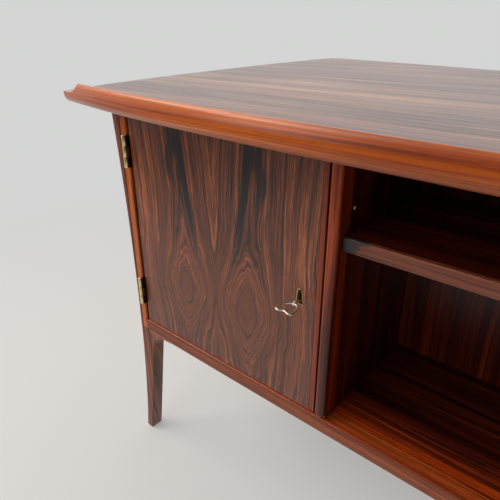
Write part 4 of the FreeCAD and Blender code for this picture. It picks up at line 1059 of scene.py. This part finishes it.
def hingeLeaf(box, axis, sign, middle):  # middle is true for the door's leaf, which holds the middle knuckle
    low, high = box
    length = (high.z - low.z) / mm
    third, gap = length / 3, hinge["gap"]
    spans = [(third + gap, 2 * third - gap)] if middle else [(0, third - gap), (2 * third + gap, length)]
    spans = [(low.z + first * mm, low.z + last * mm) for first, last in spans]
    plateFar = high.x if sign > 0 else low.x
    plateNear = plateFar - sign * hinge["leaf"] * mm
    base = axis.y + (hinge["doorBase"] if middle else hinge["frameBase"]) * mm
    tab = axis.y + (hinge["doorTab"] if middle else hinge["frameTab"]) * mm
    outline = [(high.y, high.z), (high.y, low.z), (base, low.z)]
    for first, last in spans:
        outline += [(base, first), (tab, first), (tab, last), (base, last)]
    outline.append((base, high.z))
    outline = [spot for spot, before in zip(outline, outline[-1:] + outline[:-1]) if spot != before]
    plate = lofted("leaf", [[(x, y, z) for y, z in outline] for x in (plateNear, plateFar)])
    plates, barrels = [soften(plate, hinge["edge"], 2)], []
    for first, last in spans:
        barrels.append(knuckle((axis.x, axis.y, first), (last - first) / mm))
        if middle:
            ends = (axis.x + sign * hinge["armStart"] * mm, plateNear + sign * hinge["armLap"] * mm)
            start, stop = sorted(ends)
            arm = block("arm", (start, tab, first), (stop, tab + hinge["leaf"] * mm, last))
            plates.append(soften(arm, hinge["edge"], 2))
    return plates, barrels


def hingePins(boxes):
    parts = []
    for low, high in boxes:
        size, base = hinge["pin"], ((low.x + high.x) / 2, (low.y + high.y) / 2, low.z)
        foot = [(0, 0), (size * 0.6, 0.12), (size * 0.92, 0.4), (size, 0.8)]
        parts.append(turned("pin", base, bothEnds(foot, (high.z - low.z) / mm), 28))
    return joined("hingePins", parts)


def fastenerTree():  # sets one head on every point of a mesh, turned to the point's own facing
    tree, given = newTree("setFasteners", {"Head": "Object", "Finish": "Material"})
    head = addNode(tree, "GeometryNodeObjectInfo", [given["Head"]]).outputs["Geometry"]
    way = addNode(tree, "GeometryNodeInputNamedAttribute", {"Name": "facing"}, data_type="FLOAT_VECTOR")
    turn = addNode(tree, "FunctionNodeAlignRotationToVector", {"Vector": way}, axis="Z")
    spots = addNode(tree, "GeometryNodeMeshToPoints", [given["Geometry"]])
    heads = addNode(tree, "GeometryNodeInstanceOnPoints",
                    {"Points": spots, "Instance": head, "Rotation": turn})
    closeTree(tree, heads, given["Finish"])
    return tree


fasteners = fastenerTree()


def setFasteners(name, head, spots, finish):  # spots of (place, facing) in metres
    piece = meshPiece(name, [place for place, _ in spots])
    ways = piece.data.attributes.new("facing", "FLOAT_VECTOR", "POINT")
    for item, (_, way) in zip(ways.data, spots):
        item.vector = way
    return runTree(piece, fasteners, {"Head": head, "Finish": finishes[finish]})


def slottedHead(name, radius, dome, slot):  # countersunk screw head with a driver's slot
    rows = [(0, dome), (radius * 0.5, dome * 0.8), (radius * 0.85, dome * 0.35), (radius, 0),
            (radius * 0.9, -0.15), (0, -0.15)]
    piece = turned(name, (0, 0, 0), rows, 16)
    work = bmesh.new()
    work.from_mesh(piece.data)
    for sign in (1, -1):
        bmesh.ops.bisect_plane(work, geom=work.verts[:] + work.edges[:] + work.faces[:], dist=1e-7,
                               plane_co=(0, sign * slot / 2 * mm, 0), plane_no=(0, sign, 0))
    strip = [face for face in work.faces
             if abs(face.calc_center_median().y) < slot / 2 * mm and face.normal.z > 0.2]
    low = bmesh.ops.extrude_face_region(work, geom=strip)["geom"]
    verts = [item for item in low if isinstance(item, bmesh.types.BMVert)]
    bmesh.ops.delete(work, geom=strip, context="FACES")
    bmesh.ops.translate(work, verts=verts, vec=(0, 0, -dome * 0.75 * mm))
    work.to_mesh(piece.data)
    work.free()
    return settle(piece)


def dressLeaves(name, node, pins, head, middle):  # leaf plates, knuckles and screw heads of one node
    plates, barrels, screws = [], [], []
    for low, high in solidBoxes(node):
        sign, face = facingMiddle(low, high)
        pin = next(pin for pin in pins if abs(pin[0].z - low.z) < 0.01 and pin[0].x * low.x > 0)
        leaf, rings = hingeLeaf((low, high), (pin[0] + pin[1]) / 2, sign, middle)
        plates, barrels = plates + leaf, barrels + rings
        way = (-sign if middle else sign, 0, 0)
        if middle:
            face -= sign * hinge["leaf"] * mm
        screws += [((face, high.y - hinge["screwInset"] * mm, low.z + (high.z - low.z) * share), way)
                   for share in hinge["screwSpots"]]
    # the leaf plates take the dark brass: real tarnish, and painted shade for the shadow in the gap beside the
    # knuckles
    dress(joined(name + "Leaves", plates), node, "patinaAndShade")
    addPiece(joined(name + "Knuckles", barrels), node, "brass")
    if not middle:  # the pins stay with the frame
        dress(hingePins(pins), "hinge_pins", "brass")
    addPiece(setFasteners(name + "Screws", head, screws, "brass"), node, "brass")


def dressHinges():
    head = slottedHead("hingeScrewHead", hinge["screw"], hinge["screwDome"], hinge["screwSlot"])
    pins = solidBoxes("hinge_pins")
    dressLeaves("hingeFrame", "hinge_frame_leaves", pins, head, False)
    for side in sides:
        dressLeaves(side + "DoorHinge", side + "_door_hinge_leaves", pins, head, True)
    bpy.data.objects.remove(head)


key = {"shank": 2.0, "collar": 3.1, "lap": 4.0, "bowLength": 28.0, "bowWidth": 29.0, "wire": 1.5,
       "bitThick": 2.4, "bitReach": 10.0, "bitEdge": 0.3}


def keyBow(axis, nearY):  # bent wire lying level, round at the shank, with two lobes at the far end
    half = [(0.0, 0.0), (0.42, 0.05), (0.72, 0.22), (0.92, 0.50), (1.0, 0.77), (0.90, 0.95), (0.64, 1.0),
            (0.32, 0.94)]
    loop = half + [(0.0, 0.89)] + [(-across, out) for across, out in half[:0:-1]]
    wide, deep = key["bowWidth"] / 2 - key["wire"], key["bowLength"] - 2 * key["wire"]
    curve = bpy.data.curves.new("keyBow", "CURVE")
    curve.dimensions = "3D"
    spline = curve.splines.new("BEZIER")
    spline.bezier_points.add(len(loop) - 1)
    for spot, (across, out) in zip(spline.bezier_points, loop):
        spot.handle_left_type = spot.handle_right_type = "AUTO"
        spot.co = (axis.x + across * wide * mm, nearY - (key["wire"] + out * deep) * mm, axis.z)
    spline.use_cyclic_u = True
    spline.resolution_u = 5
    curve.bevel_depth = key["wire"] * mm
    curve.bevel_resolution = 4
    return settle(newObject("keyBow", curve))


def dressKey(side, sign, axis):
    node, bolt = side + "_key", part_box(side + "_lock_bolt")
    low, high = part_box(node)
    bow = keyBow(axis, low.y + key["bowLength"] * mm)
    start, size, collar = low.y + (key["bowLength"] - key["lap"]) * mm, key["shank"], key["collar"]
    length = (high.y - start) / mm
    rows = [(0, 0), (size * 0.8, 0.1), (size * 1.02, 0.5), (size, 3.6), (collar * 0.9, 3.9), (collar, 4.5),
            (collar, 5.3), (collar * 0.9, 5.9), (size, 6.3), (size, length - 0.4),
            (size * 0.8, length), (0, length)]
    shank = turned("keyShank", (axis.x, start, axis.z), rows, 28, (0, 1, 0))
    thick = key["bitThick"] / 2 * mm
    first, last = sorted((axis.x - sign * key["bitReach"] * mm, axis.x))
    bit = block("keyBit", (first, bolt[0].y, axis.z - thick), (last, bolt[1].y, axis.z + thick))
    dress(joined(side + "DoorKey", [bow, shank, soften(bit, key["bitEdge"], 2)]), node, "steel")


bell = {"topRadius": 4.2, "footHalf": 6.5, "rise": 13.5, "drop": 6.5, "bead": 0.5, "recess": 0.6, "edge": 0.1}


def bellOutline(inset):  # (X, Z) about the key's axis: the keyhole plate, round on top and wider at the foot
    disc, foot = bell["topRadius"] - inset, bell["footHalf"] - inset
    top, low = Vector((0, bell["rise"])), Vector((foot, inset - bell["drop"]))
    reach = top - low
    lean = math.asin(disc / reach.length)
    slope = (Matrix.Rotation(-lean, 2) @ reach).normalized()
    meet = low + slope * math.sqrt(reach.length ** 2 - disc ** 2)
    arch = aboutCentre(top, meet, Vector((-meet.x, meet.y)), 16, top + Vector((0, disc)))
    return [low] + arch + [Vector((-low.x, low.y))]


def dressEscutcheon(side, axis):  # a keyhole plate sunk in a thin bright bead and darkened as painted shade for the keyhole's hollow
    node = side + "_escutcheon"
    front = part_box(node)[0].y
    plate = softCopy(side + "Escutcheon", node, bell["edge"])
    for vert in plate.data.vertices:
        vert.co.y = max(vert.co.y, front + bell["recess"] * mm)
    dress(plate, node, "patinaAndShade")
    ring = [(axis.x / mm + spot.x, front / mm + bell["bead"], axis.z / mm + spot.y)
            for spot in bellOutline(bell["bead"])]
    bead = polyline(side + "EscutcheonBead", ring, closed=True)
    bead.data.bevel_depth = bell["bead"] * mm
    bead.data.bevel_resolution = 3
    addPiece(settle(bead), node, "brass")


doorEdges = {"case": 0.25, "bolt": 0.3, "panel": 0.35, "lipping": 1.0}  # rounding of each


def dressLocks():
    for side, sign in sides.items():
        axis = Vector(jointAt[side + "_key_turn"]["pos_m"])
        case, bolt = side + "_lock_case", side + "_lock_bolt"
        dressKey(side, sign, axis)
        dress(softCopy(side + "LockCase", case, doorEdges["case"]), case, "steel")
        dress(softCopy(side + "LockBolt", bolt, doorEdges["bolt"]), bolt, "steel")
        dressEscutcheon(side, axis)
    dress(softCopy("strikePlates", "strike_plates", doorEdges["case"]), "strike_plates", "steel")


def dressDoors():
    for side in sides:
        panel, lipping = side + "_door", side + "_door_lipping"
        dress(softCopy(side + "DoorPanel", panel, doorEdges["panel"]), panel, "door")
        dress(softBoxes(side + "DoorLipping", lipping, doorEdges["lipping"]), lipping, "closingEdge")


dressHinges()
dressLocks()
dressDoors()
print("doors dressed")


# Drawers, runners and fixings

pull = {"length": 140.0, "reach": 14.0, "height": 16.0, "fromTop": 22.0, "noseDrop": 9.6, "crownReach": 10.0,
        "crownDrop": 2.9, "fingerDepth": 4.0, "endRun": 22.0, "sunk": 1.5, "endSize": 0.03, "endDepth": 0.55,
        "axisShare": 0.7, "middle": (-20.0, 0.0, 20.0)}
drawer = {"rows": ("lower", "middle", "upper"), "frontEdge": 0.8, "boxEdge": 0.6}


def carvedPull(name, low, high):  # grip whose ends fade into the drawer front
    face = high.y - pull["reach"] * mm
    middle, top = (low.x + high.x) / 2, high.z - pull["fromTop"] * mm
    nose = Vector((pull["reach"], -pull["noseDrop"]))
    heel = Vector((0, -pull["height"]))
    across = (heel - nose).normalized()
    tuck = (nose + heel) / 2 + Vector((across.y, -across.x)) * pull["fingerDepth"]
    section = [Vector((-pull["sunk"], 0))]
    section += arcPoints((0, 0), (pull["crownReach"], -pull["crownDrop"]), nose, 14)
    section += arcPoints(nose, tuck, heel, 12)[1:] + [Vector((-pull["sunk"], -pull["height"]))]
    fade, axis = pull["endRun"], pull["noseDrop"] * pull["axisShare"]
    straight = pull["length"] / 2 - fade
    stations = [straight + fade * math.sin(math.radians(turn)) for turn in range(0, 91, 6)]
    rings = []
    for station in [-station for station in reversed(stations)] + [*pull["middle"], *stations]:
        past = max(0.0, abs(station) - straight) / fade
        size = math.sqrt(max(0.0, 1 - past ** 2)) * (1 - pull["endSize"]) + pull["endSize"]
        deep = pull["endDepth"] + (1 - pull["endDepth"]) * size
        ring = []
        for spot in section:
            out = spot.x * size if spot.x > 0 else spot.x
            drop = (spot.y + axis) * deep - axis
            ring.append((middle + station * mm, face + out * mm, top + drop * mm))
        rings.append(ring)
    return lofted(name, rings, 50)


def dressDrawers():
    for side in sides:
        for row in drawer["rows"]:
            node, name = side + "_" + row + "_drawer", side + row.title() + "Drawer"
            low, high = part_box(node + "_front")
            front = block(name + "Front", low, (high.x, high.y - pull["reach"] * mm, high.z))
            dress(soften(front, drawer["frontEdge"], 3), node + "_front", "front")
            addPiece(carvedPull(name + "Pull", low, high), node + "_front", "pull")
            dress(softCopy(name + "Box", node + "_box", drawer["boxEdge"]), node + "_box", "drawer")
    dress(softCopy("drawerRunners", "drawer_runners", drawer["boxEdge"]), "drawer_runners", "drawer")
    dress(softCopy("topCleats", "top_cleats", drawer["boxEdge"]), "top_cleats", "drawer")


fixing = {
    "sleeve": 4.0, "bore": 2.55, "sleeveLength": 9.0, "rim": 0.25, "mouth": 0.5, "pin": 2.5,
    "pinReach": 8.0, "screwDome": 0.8, "screwSlot": 1.0, "screwShank": 2.0, "steps": 24,
}


def inwardSpots(node, back=0.0):  # middle of each solid's face towards the bookcase, and the way it looks
    spots = []
    for low, high in solidBoxes(node):
        sign, face = facingMiddle(low, high)
        place = Vector((face - sign * back * mm, (low.y + high.y) / 2, (low.z + high.z) / 2))
        spots.append((place, (sign, 0, 0)))
    return spots


def topScrew(radius, length):  # stands with its slotted head up and its point down
    dome, shank = fixing["screwDome"], fixing["screwShank"]
    rows = [(0, 0), (radius * 0.96, 0), (radius, 0.4), (radius * 0.55, 2.2), (shank, 3.0),
            (shank, length - 7.0), (0.3, length - 1.0), (0, length - 1.0)]
    head = slottedHead("head", radius, dome, fixing["screwSlot"])
    return joined("topScrew", [head, turned("shank", (0, 0, -1.0 * mm), rows, 16, (0, 0, -1))])


def dressFixings():
    outer, inner, deep, size = fixing["sleeve"], fixing["bore"], fixing["sleeveLength"], fixing["pin"]
    rim, mouth, out = fixing["rim"], fixing["mouth"], fixing["pinReach"]
    sleeveRows = [(inner, -deep), (outer, -deep), (outer, -rim), (outer - rim, 0), (inner + mouth, 0),
                  (inner, -mouth), (inner, -deep)]
    pinRows = [(0, -deep), (size, -deep), (size, out - 0.8), (size * 0.9, out - 0.25), (size * 0.6, out),
               (0, out)]
    plugRows = [(0, -deep), (size, -deep), (size, 0.4), (size - 0.4, 0.9), (size - 1.3, 1.15), (0, 1.2)]
    sleeve, pin, plug = [turned("fixing", (0, 0, 0), rows, fixing["steps"])
                         for rows in (sleeveRows, pinRows, plugRows)]
    mouths = inwardSpots("shelf_pin_sleeves")
    dress(setFasteners("shelfPinSleeves", sleeve, mouths, "patinaAndShade"), "shelf_pin_sleeves", "patinaAndShade")
    dress(setFasteners("shelfPins", pin, inwardSpots("shelf_pins", out), "steel"), "shelf_pins", "steel")
    highest = max(place.z for place, _ in mouths)
    spare = [spot for spot in mouths if spot[0].z > highest - 1.0 * mm]  # the highest sleeves are plugged
    pegs = setFasteners("sparePegs", plug, spare, "peg")
    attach(pegs, "carcass")
    boxes = solidBoxes("top_screws")
    low, high = boxes[0]
    screw = topScrew((high.x - low.x) / 2 / mm, (high.z - low.z) / mm)
    sunk = fixing["screwDome"] * mm
    spots = [(((low.x + high.x) / 2, (low.y + high.y) / 2, low.z + sunk), (0, 0, -1)) for low, high in boxes]
    dress(setFasteners("topScrews", screw, spots, "steel"), "top_screws", "steel")
    for piece in (sleeve, pin, plug, screw):
        bpy.data.objects.remove(piece)


dressDrawers()
dressFixings()
print("drawers and fixings dressed")


# Camera, stage and light

shot = {
    "place": (-202.8, -806.5, 818.4), "pitch": 64.76, "yaw": 40.84, "roll": -0.23, "lens": 34.44,
    "sensor": 36.0, "nearClip": 20.0,
}
stage = {
    "floor": "#cfccc8", "glow": "#d2d2d0", "wall": "#d4d5d4", "sky": "#f6f7f8", "nearGlow": 0.42,
    "glossGlow": 1.0, "fade": (1300.0, 2500.0), "rimShare": 1.02, "rimSteps": 96, "dimSky": 0.12,
    "brightSky": 1.15, "brightSide": (-0.68, 0.58, 0.45), "skyEdge": (0.1, 0.8),
}
lamps = {  # place, target, size, watts, colour and whether it shows in gloss
    "keyLight": ((-4200, -2300, 3800), (-300, -100, 500), (3200, 3200), 170.0, "#fffaf2", True),
    "fillLight": ((-700, -2700, 2400), (-400, -300, 600), (2000, 2000), 40.0, "#f2f6ff", False),
    "windowLight": ((-2960, -2950, 2570), (-400, -470, 730), (1200, 1200), 18.0, "#fff8f0", True),
    "cardLight": ((-2500, -2670, 1200), (-470, -470, 740), (1000, 800), 9.0, "#fff8f0", True),
}


def setCamera():
    data = bpy.data.cameras.new("photoCamera")
    data.lens = shot["lens"]
    data.sensor_width = shot["sensor"]
    data.clip_start = shot["nearClip"] * mm
    data.dof.use_dof = False
    camera = newObject("photoCamera", data)
    turn = Matrix.Identity(4)
    for angle, axis in (("yaw", "Z"), ("pitch", "X"), ("roll", "Z")):
        turn = turn @ Matrix.Rotation(math.radians(shot[angle]), 4, axis)
    camera.matrix_world = Matrix.Translation(Vector(shot["place"]) * mm) @ turn
    bpy.context.scene.camera = camera


def setFloor():  # matt pale floor that keeps the shadow and fades into the wall
    near, far = [size * mm for size in stage["fade"]]
    steps, reach = stage["rimSteps"], far * stage["rimShare"]
    turns = [2 * math.pi * step / steps for step in range(steps)]
    rim = [(math.cos(turn) * reach, math.sin(turn) * reach, 0) for turn in turns]
    floor = meshPiece("floor", rim, [range(steps)])
    material, tree = newMaterial("paleFloor")
    place = addNode(tree, "TexCoord").outputs["Object"]
    away = addNode(tree, "VectorMath", [place], operation="LENGTH").outputs["Value"]
    beyond = addNode(tree, "MapRange", [away, near, far, 0.0, 1.0], **smooth)
    ray = addNode(tree, "LightPath").outputs
    seen = addNode(tree, "Math", [ray["Is Camera Ray"], ray["Is Glossy Ray"]], operation="MAXIMUM")
    close = addNode(tree, "Math", [ray["Is Camera Ray"], stage["nearGlow"]], operation="MULTIPLY")
    close = addNode(tree, "Math", [ray["Is Glossy Ray"], stage["glossGlow"], close], operation="MULTIPLY_ADD")
    share = addNode(tree, "Mix", {0: beyond, 2: close, 3: seen})
    tint = addNode(tree, "Mix", {0: beyond, 6: toLinear(stage["glow"]), 7: toLinear(stage["wall"])},
                   data_type="RGBA").outputs[2]
    matte = addNode(tree, "BsdfDiffuse", {"Color": toLinear(stage["floor"])})
    glow = addNode(tree, "Emission", {"Color": tint})
    addNode(tree, "OutputMaterial", [addNode(tree, "MixShader", [share, matte, glow])])
    floor.data.materials.append(material)


def setSky():  # bright to one side, dim elsewhere, and a plain wall to the camera
    world = bpy.data.worlds.new("studio")
    bpy.context.scene.world = world
    world.use_nodes = True
    tree = world.node_tree
    tree.nodes.clear()
    way = addNode(tree, "TexCoord").outputs["Generated"]
    facing = addNode(tree, "VectorMath", [way, stage["brightSide"]], operation="DOT_PRODUCT").outputs["Value"]
    bright = addNode(tree, "MapRange",
                     [facing, *stage["skyEdge"], stage["dimSky"], stage["brightSky"]], **smooth)
    seen = addNode(tree, "LightPath").outputs["Is Camera Ray"]
    soft = addNode(tree, "Background", [toLinear(stage["sky"]), bright])
    wall = addNode(tree, "Background", [toLinear(stage["wall"]), 1.0])
    addNode(tree, "OutputWorld", [addNode(tree, "MixShader", [seen, soft, wall])])


def addLamp(name, place, target, size, watts, colour, mirrored):
    data = bpy.data.lights.new(name, "AREA")
    data.shape = "RECTANGLE"
    data.size, data.size_y = [side * mm for side in size]
    data.energy = watts
    data.color = toLinear(colour)[:3]
    lamp = newObject(name, data)
    place, target = Vector(place) * mm, Vector(target) * mm
    turn = (target - place).to_track_quat("-Z", "Y").to_matrix().to_4x4()
    lamp.matrix_world = Matrix.Translation(place) @ turn
    lamp.visible_glossy = mirrored


setCamera()
setFloor()
setSky()
for name, settings in lamps.items():
    addLamp(name, *settings)
print("camera, stage and light set")
